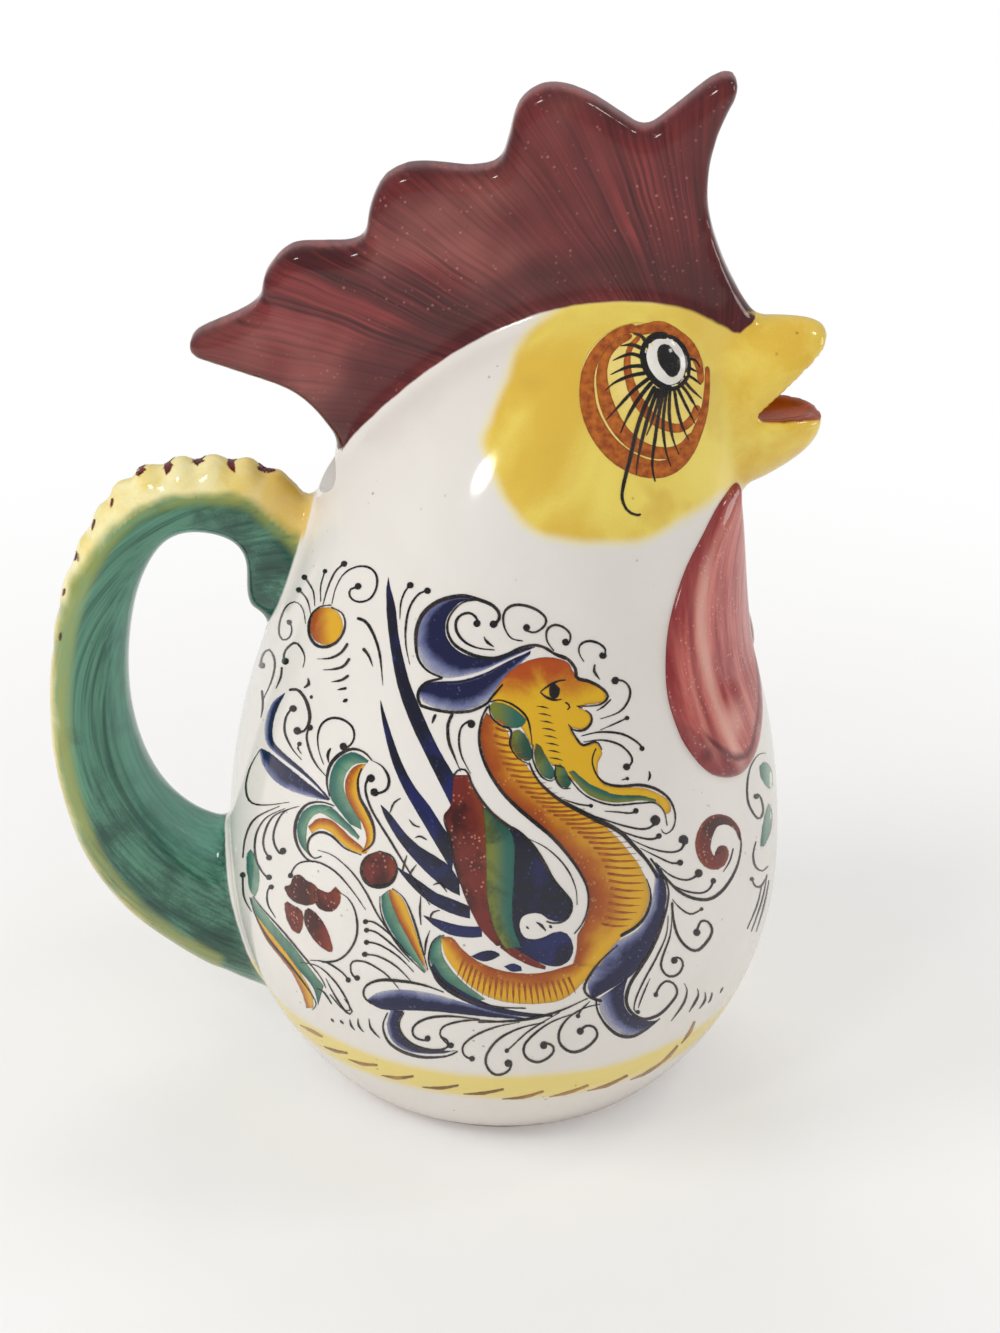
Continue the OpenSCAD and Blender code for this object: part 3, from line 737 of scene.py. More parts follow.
def skin_glaze():
    """The colours brushed on the fused body: white, yellow face and base band, maroon comb, teal handle; with
    painted shade at the comb's root, and painted highlights on the comb's rim and on the handle's inner
    faces.
    """
    material, s = new_material("painted_glaze")
    place = s.place()
    surface = s.group(tool(glaze_surface), Normal=surface_normal(s))
    thick = s.group(tool(pooled_pigment), Scale=26, Grain=0.25)["Thickness"]
    fine = s.group(tool(pooled_pigment), Scale=95, Grain=0.6)["Thickness"]
    axis = s.put("SeparateXYZ", Vector=place)
    high = s.times(axis.outputs["Z"], 1000)

    def mask(distance, soft, waver, scale):
        return s.group(
            tool(watery_edge), Distance=distance, Softness=soft, Waver=waver, Scale=scale)["Mask"]

    def swept(centre_x, centre_z):
        """The way, the turn and the distance from a centre of the side view."""
        from_x = s.less(axis.outputs["X"], centre_x)
        from_z = s.less(axis.outputs["Z"], centre_z)
        far = s.math("SQRT", s.plus(s.times(from_x, from_x), s.times(from_z, from_z)))
        return from_x, from_z, s.math("ARCTAN2", from_x, from_z), far

    colour = s.blend(s.times(thick, 0.35), linear(236, 232, 226), linear(222, 216, 209))
    band = s.less(BAND_HALF, s.math("ABSOLUTE", s.less(high, BAND_Z)))
    colour = s.blend(s.times(mask(band, 2, 1.2, 40), 0.88), colour, linear(240, 216, 100))

    yellow = s.blend(s.ramp(thick, 0, 1), linear(246, 224, 92), linear(226, 184, 28))
    spots = s.ramp(s.noise(place, 74, 2), 0.54, 0.7, 0, 0.5)
    yellow = s.blend(spots, yellow, linear(214, 166, 18))
    yellow = s.blend(s.ramp(axis.outputs["X"], 0.03, 0.058, 0, 0.4), yellow, linear(248, 228, 128))
    halo = mask(s.plus(s.attribute("face"), 1.4), 1.4, 2.6, 44)
    colour = s.blend(s.times(halo, 0.45), colour, linear(246, 228, 130))
    colour = s.blend(s.times(mask(s.attribute("face"), 1.5, 2.6, 44), 0.9), colour, yellow)
    beak_wash = s.blend(fine, linear(244, 216, 90), linear(230, 182, 36))
    colour = s.blend(s.times(mask(s.attribute("beak"), 1.5, 1, 60), 0.7), colour, beak_wash)
    sienna = s.blend(fine, linear(186, 84, 26), linear(140, 54, 16))
    colour = s.blend(mask(s.attribute("tongue"), 0.4, 0.4, 120), colour, sienna)

    from_x, from_z, turn, far = swept(*COMB_SWEEP)
    wander = s.times(s.less(s.noise(place, 24, 2), 0.5), 0.1)
    turn = s.times(s.plus(turn, wander), 0.085)
    stroke = s.put("CombineXYZ", X=far, Y=turn, Z=s.times(axis.outputs["Y"], 0.2))
    fan = s.group(tool(brush_marks), Vector=stroke.outputs[0], Fineness=1)["Streak"]
    wet = s.ramp(s.noise(place, 30, 3, 0.6), 0.36, 0.62, 0.35, 1.15)
    fan = s.plus(s.times(s.less(fan, 0.5), wet), 0.5)
    maroon = s.blend(s.ramp(fan, 0.38, 0.64), linear(66, 10, 16), linear(144, 54, 54))
    maroon = s.blend(s.ramp(thick, 0.35, 1, 0, 0.5), maroon, linear(82, 16, 18))
    faded = s.times(s.ramp(s.noise(place, 17, 3, 0.6), 0.5, 0.68), s.ramp(fan, 0.3, 0.6, 0.25, 0.75))
    maroon = s.blend(faded, maroon, linear(164, 96, 88))
    flecks = s.put("TexVoronoi", Vector=place, Scale=520)
    fleck = s.times(s.ramp(flecks.outputs["Distance"], 0.08, 0.24, 1, 0), s.ramp(fine, 0.5, 0.9))
    maroon = s.blend(s.times(fleck, 0.5), maroon, linear(200, 136, 132))
    # Painted shade: the maroon is darkened in a band just above the comb's root, where it meets the head.
    unsteady = s.times(s.less(thick, 0.5), 6)
    above = s.plus(s.attribute("comb"), unsteady)
    root = s.times(s.ramp(above, -1.5, 2, 0.4, 1), s.ramp(above, 8, 17, 0.65, 0))
    maroon = s.blend(root, maroon, linear(66, 10, 16))
    inside = s.plus(s.attribute("rim"), s.times(unsteady, 0.3))
    line = s.times(s.ramp(inside, 2, 3.4), s.ramp(inside, 4, 7.5, 0.5, 0))
    maroon = s.blend(line, maroon, linear(66, 12, 18))
    # Painted highlight: a paler band along the comb's rounded rim, where the rim catches the light.
    maroon = s.blend(s.ramp(inside, 0, 2.4, 0.55, 0), maroon, linear(152, 78, 84))
    colour = s.blend(mask(s.attribute("comb"), 0.35, 0.5, 120), colour, maroon)

    from_x, from_z, turn, far = swept(*HANDLE_SWEEP)
    pull = s.put("CombineXYZ", X=s.times(turn, 0.06), Y=far, Z=axis.outputs["Y"])
    pulled = s.group(tool(brush_marks), Vector=pull.outputs[0], Fineness=1)["Streak"]
    teal = s.blend(s.ramp(pulled, 0.36, 0.66), linear(90, 146, 120), linear(28, 80, 66))
    pooled = s.plus(thick, s.times(fine, 0.3))
    teal = s.blend(s.ramp(pooled, 0.55, 1.2, 0, 0.75), teal, linear(20, 56, 50))
    # Painted light: faces of the strap that turn in towards the loop's middle get a paler teal.
    facing = s.put("SeparateXYZ", Vector=surface_normal(s))
    inward_painted_light = s.plus(s.times(facing.outputs["X"], from_x), s.times(facing.outputs["Z"], from_z))
    inward_painted_light = s.ramp(s.math("DIVIDE", inward_painted_light, far), -0.85, -0.2, 0.55, 0)
    teal = s.blend(inward_painted_light, teal, linear(116, 172, 158))
    olive = s.times(s.ramp(s.attribute("cream"), -3.4, 0.2), s.ramp(pulled, 0.32, 0.58, 0.3, 0.9))
    teal = s.blend(olive, teal, linear(156, 164, 84))
    colour = s.blend(mask(s.attribute("teal"), 0.5, 0.9, 90), colour, teal)
    cream = s.blend(fine, linear(250, 240, 184), linear(240, 216, 122))
    ochre = s.times(s.ramp(axis.outputs["X"], -0.07, -0.052), s.ramp(thick, 0.1, 0.8, 0.3, 0.8))
    cream = s.blend(ochre, cream, linear(222, 178, 76))
    colour = s.blend(mask(s.attribute("cream"), 0.5, 0.6, 90), colour, cream)

    # Pinholes are darkened: the bare body shows in them, with painted shade in the hole.
    colour = s.blend(s.times(surface["Pinhole"], 0.5), colour, linear(90, 70, 60))
    glazed(s, colour, surface["Normal"])
    return material


def bare_clay():
    material, s = new_material("bare_clay")
    grain = s.noise(s.place(), 420, 5, 0.65)
    colour = s.blend(s.ramp(grain, 0.3, 0.7), linear(186, 120, 84), linear(150, 88, 58))
    bump = s.put("Bump", Height=grain, Strength=0.5, Distance=0.0006)
    body = s.put("BsdfPrincipled")
    s.feed(body, "Base Color", colour)
    s.feed(body, "Roughness", s.ramp(grain, 0.2, 0.8, 0.75, 0.95))
    s.feed(body, "Normal", bump.outputs["Normal"])
    s.put("OutputMaterial", Surface=body.outputs[0])
    return material


def make_foot():
    """The unglazed ring under the belly, turned with a small chamfer."""
    bm = bmesh.new()
    profile = [(0, 0), (FOOT_R - 0.8, 0), (FOOT_R, 0.8), (FOOT_R, FOOT_H), (0, FOOT_H)]
    verts = [bm.verts.new((x, 0, z)) for x, z in profile]
    edges = [bm.edges.new(pair) for pair in zip(verts, verts[1:])]
    bmesh.ops.spin(
        bm, geom=verts + edges, axis=(0, 0, 1), cent=(0, 0, 0), steps=96, angle=2 * pi, use_merge=True)
    bmesh.ops.remove_doubles(bm, verts=bm.verts, dist=1e-4)
    bmesh.ops.recalc_face_normals(bm, faces=bm.faces)
    foot = solid("clay_foot", bm)
    foot.data.set_sharp_from_angle(angle=radians(35))
    foot.data.materials.append(bare_clay())
    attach(foot, "root")
    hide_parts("foot")


def signed_to_loop(x, y, loop):
    """How far a photo point is inside the closed outline, negative outside it."""
    best, inside = 1e9, False
    for (ax, ay), (bx, by) in zip(loop, loop[1:] + loop[:1]):
        dx, dy = bx - ax, by - ay
        t = clamp(((x - ax) * dx + (y - ay) * dy) / (dx * dx + dy * dy))
        best = min(best, hypot(x - ax - t * dx, y - ay - t * dy))
        if (ay > y) != (by > y) and x < ax + (y - ay) * dx / dy:
            inside = not inside
    return best if inside else -best


# ---------------- the surface that is painted on

class Surface:
    """The finished clay in millimetres, asked for a place on it and the smooth normal there."""

    def __init__(self, pieces):
        self.points, self.normals, self.faces = [], [], []
        for piece in pieces:
            first = len(self.points)
            self.points += [v.co / MM for v in piece.data.vertices]
            self.normals += [v.normal.copy() for v in piece.data.vertices]
            self.faces += [[first + i for i in p.vertices] for p in piece.data.polygons]
        self.tree = BVHTree.FromPolygons(self.points, self.faces)

    def smooth_hit(self, hit):
        place, flat, index, off = hit
        if place is None:
            return None
        corners = self.faces[index]
        weights = poly_3d_calc([self.points[i] for i in corners], place)
        normal = sum((self.normals[i] * w for i, w in zip(corners, weights)), Vector())
        return place, normal.normalized() if normal.length > 0.1 else flat, off

    def ray(self, start, way):
        return self.smooth_hit(self.tree.ray_cast(start, way))

    def near(self, co):
        return self.smooth_hit(self.tree.find_nearest(co))


def close_under(bm, deep):
    """Gives a laid sheet a back inside the clay, so that it is a closed skin of paint."""
    out = bm.verts.layers.float_vector["out"]
    made = bmesh.ops.extrude_face_region(bm, geom=list(bm.faces), use_keep_orig=True)["geom"]
    for v in made:
        if isinstance(v, bmesh.types.BMVert):
            v.co -= v[out] * deep


def both_sides(bm):
    """Repeats the right side's work on the left side, as the painter did."""
    out = bm.verts.layers.float_vector["out"]
    made = bmesh.ops.duplicate(bm, geom=list(bm.verts) + list(bm.edges) + list(bm.faces))["geom"]
    for v in made:
        if isinstance(v, bmesh.types.BMVert):
            v.co.y = -v.co.y
            v[out] = Vector((v[out].x, -v[out].y, v[out].z))
    bmesh.ops.recalc_face_normals(bm, faces=bm.faces)


def spaced(points, places):
    """Points on the smooth curve through the given ones, at shares of its length."""
    fine = smooth(points, 12)
    run = [0.0]
    for a, b in zip(fine, fine[1:]):
        run.append(run[-1] + (b - a).length)
    found, i = [], 0
    for share in places:
        want = share * run[-1]
        while i < len(fine) - 2 and run[i + 1] < want:
            i += 1
        found.append(fine[i].lerp(fine[i + 1], clamp((want - run[i]) / max(run[i + 1] - run[i], 1e-9))))
    return found


def length_of(points):
    fine = smooth(points, 6)
    return sum((b - a).length for a, b in zip(fine, fine[1:]))


# Where a stroke gets its points, as shares of its rounded ends and of the dot at its end.
END_SHARES = (0, 0.1, 0.3, 0.6, 1)
DOT_SHARES = (0, 0.04, 0.12, 0.25, 0.4, 0.5, 0.6, 0.75, 0.88, 0.96)
# How deep a skin of paint reaches in the clay, and what the photo doesn't show of it behind the handle.
PAINT_BACK = 0.3
HANDLE_RIGHT_PX, HANDLE_TOP_PX, HANDLE_GAP = 330, 560, 6
# Paint past the outline is drawn towards this point on the belly, by these shares at each try.
BELLY_PX, BELLY_PY, DRAW_X, DRAW_Y, DRAW_TRIES = 505, 850, 0.015, 0.01, 12


class Brush:
    """Gathers the painted shapes of one colour on the photograph's plane, then lays them on the clay."""

    def __init__(self, name, fuller):
        self.name, self.fuller = name, fuller
        self.bm = bmesh.new()
        layers = self.bm.verts.layers
        self.sheet, self.out = [layers.float_vector.new(name) for name in ("sheet", "out")]
        self.along, self.across, self.edge = [layers.float.new(name) for name in ("along", "across", "edge")]

    def ribbon(self, rows, columns):
        """Rows are pairs of edge points with their share of the length."""
        made = bmesh.ops.create_grid(self.bm, x_segments=columns, y_segments=len(rows) - 1, size=1)["verts"]
        for n, v in enumerate(made):
            i, j = divmod(n, columns + 1)
            left, right, share = rows[i]
            place = left.lerp(right, j / columns)
            v.co = (place.x, place.y, 0)
            v[self.along], v[self.across] = share, j / columns
            v[self.edge] = min(j, columns - j) / columns * (right - left).length
        bmesh.ops.remove_doubles(self.bm, verts=made, dist=1e-4)

    def band(self, left, right, columns=5):
        """A broad shape between two edges that are drawn the same way."""
        count = max(3, ceil(max(length_of(left), length_of(right)) / 5))
        places = [i / count for i in range(count + 1)]
        self.ribbon(list(zip(spaced(left, places), spaced(right, places), places)), columns)

    def stroke(self, points, start=1.0, mid=2.2, end=1.0, dot=0.0):
        """A line of the brush with its widths, which may end in a round dot."""
        start, mid, end, dot = (w * self.fuller for w in (start, mid, end, dot * 0.82))
        total = length_of(points) + dot * 0.5
        ends = max(0.8, start / 2, end / 2)
        marks = {ends * k for k in END_SHARES} | {total - ends * k for k in END_SHARES}
        if dot:
            marks |= {total - dot * 2 * k for k in DOT_SHARES}
        marks |= {total * i / ceil(total / 4) for i in range(ceil(total / 4) + 1)}
        marks = sorted(m for m in marks if 0 <= m <= total)
        marks = [m for k, m in enumerate(marks) if k == 0 or m - marks[k - 1] > 0.05]
        places = [m / total for m in marks]
        centre = spaced(points, places)
        rows = []
        for k, (p, s, m) in enumerate(zip(centre, places, marks)):
            a, b = centre[max(k - 1, 0)], centre[min(k + 1, len(centre) - 1)]
            side = Vector((a.y - b.y, b.x - a.x)).normalized()
            w = mix(start, mid, eased(s, 0, 0.5)) if s < 0.5 else mix(mid, end, eased(s, 0.5, 1))
            reach = min(m, total - m)
            if reach < ends:
                w *= sqrt(max(0, 1 - ((ends - reach) / ends) ** 2))
            if dot and total - m < 2 * dot:
                w = max(w if total - m > dot else 0, 2 * sqrt(max(0, dot * dot - (total - m - dot) ** 2)))
            rows.append((p - side * (w / 2), p + side * (w / 2), s))
        self.ribbon(rows, 2 if mid < 6 else 6)

    def strokes(self, table):
        """Lines of the brush, each after its widths."""
        for *widths, line in table:
            self.stroke(line, *widths)

    def patch(self, loop, cell=7):
        """A filled shape inside a closed outline, cut in cells so that it can lie on the round clay."""
        edge = smooth_loop(loop, 4)
        face = self.bm.faces.new([self.bm.verts.new((p.x, p.y, 0)) for p in edge])
        geom = [face] + list(face.verts) + list(face.edges)
        for axis, way in ((0, Vector((1, 0, 0))), (1, Vector((0, 1, 0)))):
            low, high = min(p[axis] for p in edge), max(p[axis] for p in edge)
            for k in range(1, ceil((high - low) / cell)):
                at = way * (low + k * (high - low) / ceil((high - low) / cell) + 0.013)
                geom = bmesh.ops.bisect_plane(self.bm, geom=geom, plane_co=at, plane_no=way)["geom"]
        pairs = [(p.x, p.y) for p in edge]
        low_x, high_x = min(p[0] for p in pairs), max(p[0] for p in pairs)
        low_y, high_y = min(p[1] for p in pairs), max(p[1] for p in pairs)
        for v in {v for v in geom if isinstance(v, bmesh.types.BMVert)}:
            v[self.edge] = max(0, signed_to_loop(v.co.x, v.co.y, pairs))
            v[self.along] = (v.co.y - low_y) / (high_y - low_y)
            v[self.across] = (v.co.x - low_x) / (high_x - low_x)

    def ball(self, x, y, r, tall=1.0):
        self.patch([(x + r * cos(k * pi / 8), y + r * tall * sin(k * pi / 8)) for k in range(16)])

    def lay(self, on, body, lift, material, slot):
        """Casts every point along the camera's ray on the clay, lifts it a little and closes the skin."""
        for v in self.bm.verts:
            x, y = v.co.x, v.co.y
            v[self.sheet] = Vector((x, y, 0)) / 100
            for step in range(DRAW_TRIES):
                way = pixel_ray(x, y)
                found, under = on.ray(CAMERA_PLACE, way), body.ray(CAMERA_PLACE, way)
                behind = x < HANDLE_RIGHT_PX and y > HANDLE_TOP_PX
                if found and under and under[2] - found[2] > HANDLE_GAP and behind:
                    found = on.near(under[0])
                if found and found[1].dot(way) < -0.04:
                    break
                x, y = mix(x, BELLY_PX, DRAW_X), mix(y, BELLY_PY, DRAW_Y)
            place, normal = (found[0], found[1]) if found else (v.co, Vector((0, -1, 0)))
            v.co, v[self.out] = place + normal * lift, normal
        close_under(self.bm, PAINT_BACK + lift)
        both_sides(self.bm)
        bmesh.ops.recalc_face_normals(self.bm, faces=self.bm.faces)
        piece = solid(self.name, self.bm)
        piece.data.materials.append(material)
        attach(piece, "root")
        return piece


# ---------------- the painted ornament, in photo points

def paint_plumes(cobalt, black):
    """The five long tail plumes behind the wing, and the ticks that join them."""
    cobalt.band(
        [(388, 577), (386, 592), (387, 620), (391, 652), (398, 688), (410, 722), (424, 752), (437, 778),
         (451, 806)],
        [(389, 577), (391, 588), (396, 608), (399, 635), (404, 660), (411, 685), (422, 712), (437, 745),
         (456, 778)], 3)
    cobalt.band(
        [(380, 700), (381, 715), (386, 740), (393, 765), (404, 790), (420, 818), (436, 845), (452, 872)],
        [(381, 700), (386, 716), (393, 738), (402, 762), (414, 785), (430, 806), (444, 828), (455, 842)], 3)
    cobalt.band(
        [(380, 805), (386, 820), (398, 840), (414, 860), (432, 878), (448, 890), (460, 896)],
        [(382, 805), (392, 815), (405, 832), (420, 846), (436, 856), (450, 866), (459, 880)], 3)
    cobalt.band(
        [(396, 867), (410, 885), (430, 903), (452, 914), (470, 919)],
        [(398, 867), (416, 878), (436, 892), (456, 900), (470, 906)], 2)
    cobalt.band(
        [(423, 916), (434, 926), (450, 935), (470, 938), (482, 937)],
        [(424, 915), (438, 919), (455, 924), (470, 926), (482, 926)], 2)
    cobalt.band(
        [(470, 956), (480, 961), (490, 961), (500, 956)],
        [(471, 956), (482, 951), (492, 950), (499, 953)], 2)
    cobalt.band([(503, 966), (512, 972), (522, 971)], [(504, 966), (513, 963), (521, 966)], 2)
    cobalt.band(
        [(430, 968), (436, 982), (450, 994), (470, 1004), (495, 1012), (525, 1017), (552, 1017)],
        [(434, 964), (444, 978), (458, 988), (476, 998), (500, 1007), (526, 1012), (553, 1014)], 3)
    for tick in (
            [(401, 798), (394, 803), (390, 813)],
            [(409, 819), (414, 825), (420, 827)],
            [(415, 838), (420, 836), (427, 840)],
            [(407, 855), (404, 865), (402, 875)],
            [(417, 864), (411, 872), (407, 880)],
            [(433, 885), (440, 883), (447, 892)],
            [(421, 895), (420, 910), (421, 925)],
            [(440, 910), (432, 913), (430, 922)],
            [(430, 930), (426, 942), (425, 955)]):
        black.stroke(tick, 0.9, 1.8, 1)


def paint_wing(maroon, green, cobalt, black):
    """Speckled maroon feathers, a green band, and the blue wing that curls round a white eye."""
    maroon.band(
        [(453, 775), (452, 792), (450, 806), (444, 816), (448, 835), (453, 858), (460, 885), (470, 910),
         (481, 930), (496, 946)],
        [(468, 775), (477, 793), (485, 808), (489, 825), (491, 845), (492, 870), (493, 890), (496, 912),
         (501, 930), (505, 945)], 5)
    maroon.band(
        [(500, 948), (512, 957), (530, 966), (545, 970)],
        [(502, 940), (515, 948), (532, 958), (546, 966)], 2)
    green.band(
        [(482, 807), (484, 825), (485, 845), (486, 870), (486, 890), (489, 912), (495, 932), (505, 949)],
        [(488, 809), (507, 825), (515, 842), (515, 868), (514, 890), (513, 912), (515, 930), (522, 947)], 5)
    cobalt.patch([
            (508, 828), (520, 834), (531, 844), (541, 858), (551, 876), (561, 890), (570, 899), (572, 908),
            (568, 918), (559, 922), (549, 920), (540, 914), (530, 914), (522, 918), (520, 927), (524, 936),
            (533, 939), (543, 937), (551, 933), (560, 931), (568, 934), (573, 943), (573, 954), (567, 963),
            (556, 967), (542, 964), (526, 957), (512, 949), (503, 935), (501, 905), (503, 870), (504, 845)])
    black.strokes([
        (1.6, 2.8, 1.4, [(453, 777), (457, 771), (463, 769), (468, 773), (472, 784), (480, 798), (492, 813),
         (507, 825), (520, 833), (533, 846), (543, 861), (553, 879), (563, 891), (571, 901), (571, 912),
         (564, 921), (553, 923), (546, 921)]),
        (0.8, 1.5, 0.8, [(527, 838), (545, 847), (560, 860), (570, 874), (576, 890), (577, 905)]),
        (1, 2.4, 1, [(536, 922), (541, 925), (546, 931)]),
        (1, 1.8, 1, [(526, 926), (529, 929)]),
        (1.2, 2.4, 1.2, [(549, 925), (552, 928)]),
        (1, 2, 1, [(446, 812), (444, 820), (449, 836), (453, 858), (460, 884)])])


def paint_neck(orange, green, wash, ribs, black):
    """The long bending neck and the crescent of the body, orange on the back and yellow on the throat."""
    orange.band(
        [(486, 712), (481, 724), (480, 741), (484, 758), (492, 776), (505, 794), (520, 809), (536, 823),
         (551, 836), (564, 851), (576, 867), (585, 884), (588, 902), (585, 920), (577, 935), (576, 950),
         (572, 966)],
        [(508, 731), (511, 742), (518, 754), (530, 770), (543, 786), (560, 800), (580, 811), (599, 821),
         (615, 835), (628, 850), (640, 866), (648, 884), (649, 902), (641, 920), (627, 933), (612, 948),
         (600, 966)], 7)
    orange.band(
        [(442, 937), (452, 937), (462, 948), (475, 959), (492, 967), (512, 972), (535, 973), (556, 969),
         (572, 964)],
        [(441, 940), (445, 956), (456, 972), (470, 986), (488, 997), (510, 1003), (540, 1004), (568, 997),
         (598, 966)], 6)
    green.band(
        [(443, 934), (433, 941), (429, 954), (433, 970), (446, 984), (462, 994), (478, 1001)],
        [(445, 936), (442, 943), (444, 957), (454, 972), (466, 984), (478, 993), (486, 999)], 3)
    spine = [
        (500, 722), (500, 745), (512, 768), (530, 790), (552, 808), (578, 826), (598, 843), (612, 862),
        (618, 885), (616, 905), (608, 925)]
    throat = [
        (506, 726), (512, 745), (524, 766), (541, 787), (562, 804), (590, 821), (613, 840), (630, 860),
        (636, 885), (632, 908), (622, 928)]
    tail_top = [(463, 962), (478, 976), (500, 984), (526, 988), (550, 986), (570, 981)]
    tail_low = [(459, 972), (474, 986), (497, 995), (526, 999), (552, 997), (574, 990)]
    for inside, outside, count, sag in ((spine, throat, 34, 4), (tail_top, tail_low, 20, 0)):
        places = [k / count for k in range(count + 1)]
        for a, b in zip(spaced(inside, places), spaced(outside, places)):
            top, low = a.lerp(b, 0.5) + Vector((0, -0.6)), a.lerp(b, 1.5) + Vector((0, -sag))
            ribs.stroke([a.lerp(b, -0.5), top, low], 2.6, 2.2, 0.8)
    back = [
        (488, 706), (482, 718), (479, 735), (481, 752), (489, 772), (503, 793), (520, 810), (538, 825),
        (553, 838), (567, 854), (579, 871), (587, 888), (588, 905), (583, 922), (574, 934)]
    front = [
        (529, 762), (534, 774), (543, 786), (560, 800), (580, 811), (600, 821), (620, 832), (634, 846),
        (648, 862), (658, 878)]
    black.stroke(back, 1.8, 2.9, 1.2)
    black.stroke(front, 1.6, 3.6, 2.4)
    black.strokes([
        (1, 2.2, 2.6, [(646, 878), (650, 890), (650, 903), (644, 918), (634, 928), (620, 936)]),
        (1.2, 2, 1.2, [(441, 935), (433, 941), (429, 953), (430, 966), (440, 981), (456, 993), (475, 1002),
         (500, 1007), (526, 1008)])])
    wash.band(
        [(655, 863), (653, 890), (648, 913), (636, 930), (618, 940), (604, 953), (593, 968), (587, 984),
         (590, 996)],
        [(659, 865), (667, 890), (664, 915), (656, 938), (646, 958), (634, 974), (620, 984), (606, 992),
         (594, 999)], 5)
    wash.band(
        [(598, 999), (600, 1013), (610, 1027), (624, 1035), (640, 1033), (656, 1022)],
        [(628, 978), (624, 994), (626, 1008), (634, 1016), (645, 1020), (657, 1020)], 5)
    black.strokes([
        (1.4, 2.6, 1.6, 2, [(660, 868), (668, 888), (667, 905), (660, 930), (650, 952), (640, 968),
         (630, 984), (626, 1000), (631, 1012), (643, 1019), (658, 1015), (670, 1004), (677, 993), (674, 984),
         (666, 981), (659, 987), (655, 997)]),
        (1.4, 2.6, 1, [(596, 1000), (598, 1012), (607, 1026), (619, 1035), (633, 1036), (648, 1028),
         (660, 1018)]),
        (1, 2, 2.2, [(618, 945), (603, 958), (591, 973), (584, 988), (590, 997), (602, 1001)]),
        (0.9, 1.6, 1.2, 1.8, [(668, 915), (666, 935), (656, 958), (644, 980), (636, 998), (634, 1010),
         (640, 1012)]),
        (0.8, 1.4, 1, [(650, 978), (643, 994), (638, 1008)])])


def paint_head(orange, green, black):
    """The crested head: orange crown and snout, yellow cheek, green ruff and a long green beard."""
    orange.patch([
            (490, 700), (500, 682), (512, 669), (526, 661), (542, 657), (558, 658), (570, 664), (576, 676),
            (590, 681), (603, 689), (608, 696), (602, 703), (588, 705), (579, 707), (588, 711), (592, 719),
            (588, 727), (578, 730), (570, 727), (574, 735), (582, 745), (590, 744), (598, 742), (603, 752),
            (598, 764), (599, 776), (605, 784), (618, 787), (640, 787), (656, 792), (668, 800), (672, 812),
            (668, 830), (664, 812), (655, 802), (640, 799), (610, 800), (585, 790), (570, 778), (556, 768),
            (545, 760), (532, 748), (524, 732), (510, 716), (498, 706)])
    green.patch([
            (488, 703), (500, 702), (514, 708), (527, 720), (520, 728), (508, 728), (496, 721),
            (490, 712)], 6)
    green.patch([(512, 731), (522, 730), (530, 742), (534, 755), (528, 762), (518, 757), (510, 744)], 6)
    green.patch([(534, 743), (541, 746), (549, 760), (557, 775), (550, 780), (541, 775), (534, 760)], 6)
    green.patch([(557, 762), (565, 768), (572, 784), (566, 789), (558, 784), (554, 774)], 6)
    green.band(
        [(568, 772), (580, 788), (592, 797), (612, 803), (640, 801), (656, 803)],
        [(574, 770), (588, 782), (600, 788), (616, 794), (640, 795), (656, 799)], 3)
    black.strokes([
        (1.2, 2.6, 1, [(518, 653), (530, 646), (542, 647), (553, 653), (566, 658), (575, 668), (577, 678),
         (588, 681), (600, 687), (608, 696), (601, 704), (588, 706), (576, 706), (583, 708)]),
        (1.2, 2.2, 1, [(585, 710), (591, 715), (591, 723), (584, 730), (574, 730), (568, 724)]),
        (1.2, 2, 1, [(570, 727), (575, 736), (582, 745), (590, 743), (597, 742), (602, 750)]),
        (1.2, 2.4, 1, [(596, 748), (592, 760), (596, 774), (605, 783), (620, 786), (640, 785), (656, 789),
         (669, 799), (675, 814), (673, 828), (665, 834), (661, 829)]),
        (1.2, 1.6, 1, [(568, 776), (580, 791), (594, 800), (614, 805), (640, 803), (655, 803), (664, 812),
         (667, 826)]),
        (1.2, 1.8, 1, [(490, 702), (500, 700), (515, 706), (527, 718), (531, 735), (532, 745)]),
        (1.2, 1.8, 1, [(489, 704), (491, 716), (500, 725), (511, 730), (510, 745), (518, 758), (529, 764)]),
        (1.2, 1.6, 1, [(533, 744), (533, 760), (541, 776), (551, 781), (557, 776)]),
        (1.2, 1.6, 1, [(556, 764), (555, 777), (562, 788), (571, 788)]),
        (1.2, 2, 1, [(540, 692), (548, 686), (558, 681), (566, 680)]),
        (1.2, 2.2, 1, [(540, 692), (546, 697), (555, 700), (562, 699)]),
        (1.2, 1.6, 1, [(565, 702), (570, 706), (567, 710)])])
    black.patch([(550, 685), (556, 683), (560, 688), (559, 696), (554, 699), (549, 695)], 6)
    for k in range(9):
        x, y = mix(536, 551, k / 8), mix(706, 765, k / 8)
        black.stroke([(x, y), (x + 8, y + 1), (x + 14, y + 3)], 0.6, 1.3, 0.5)


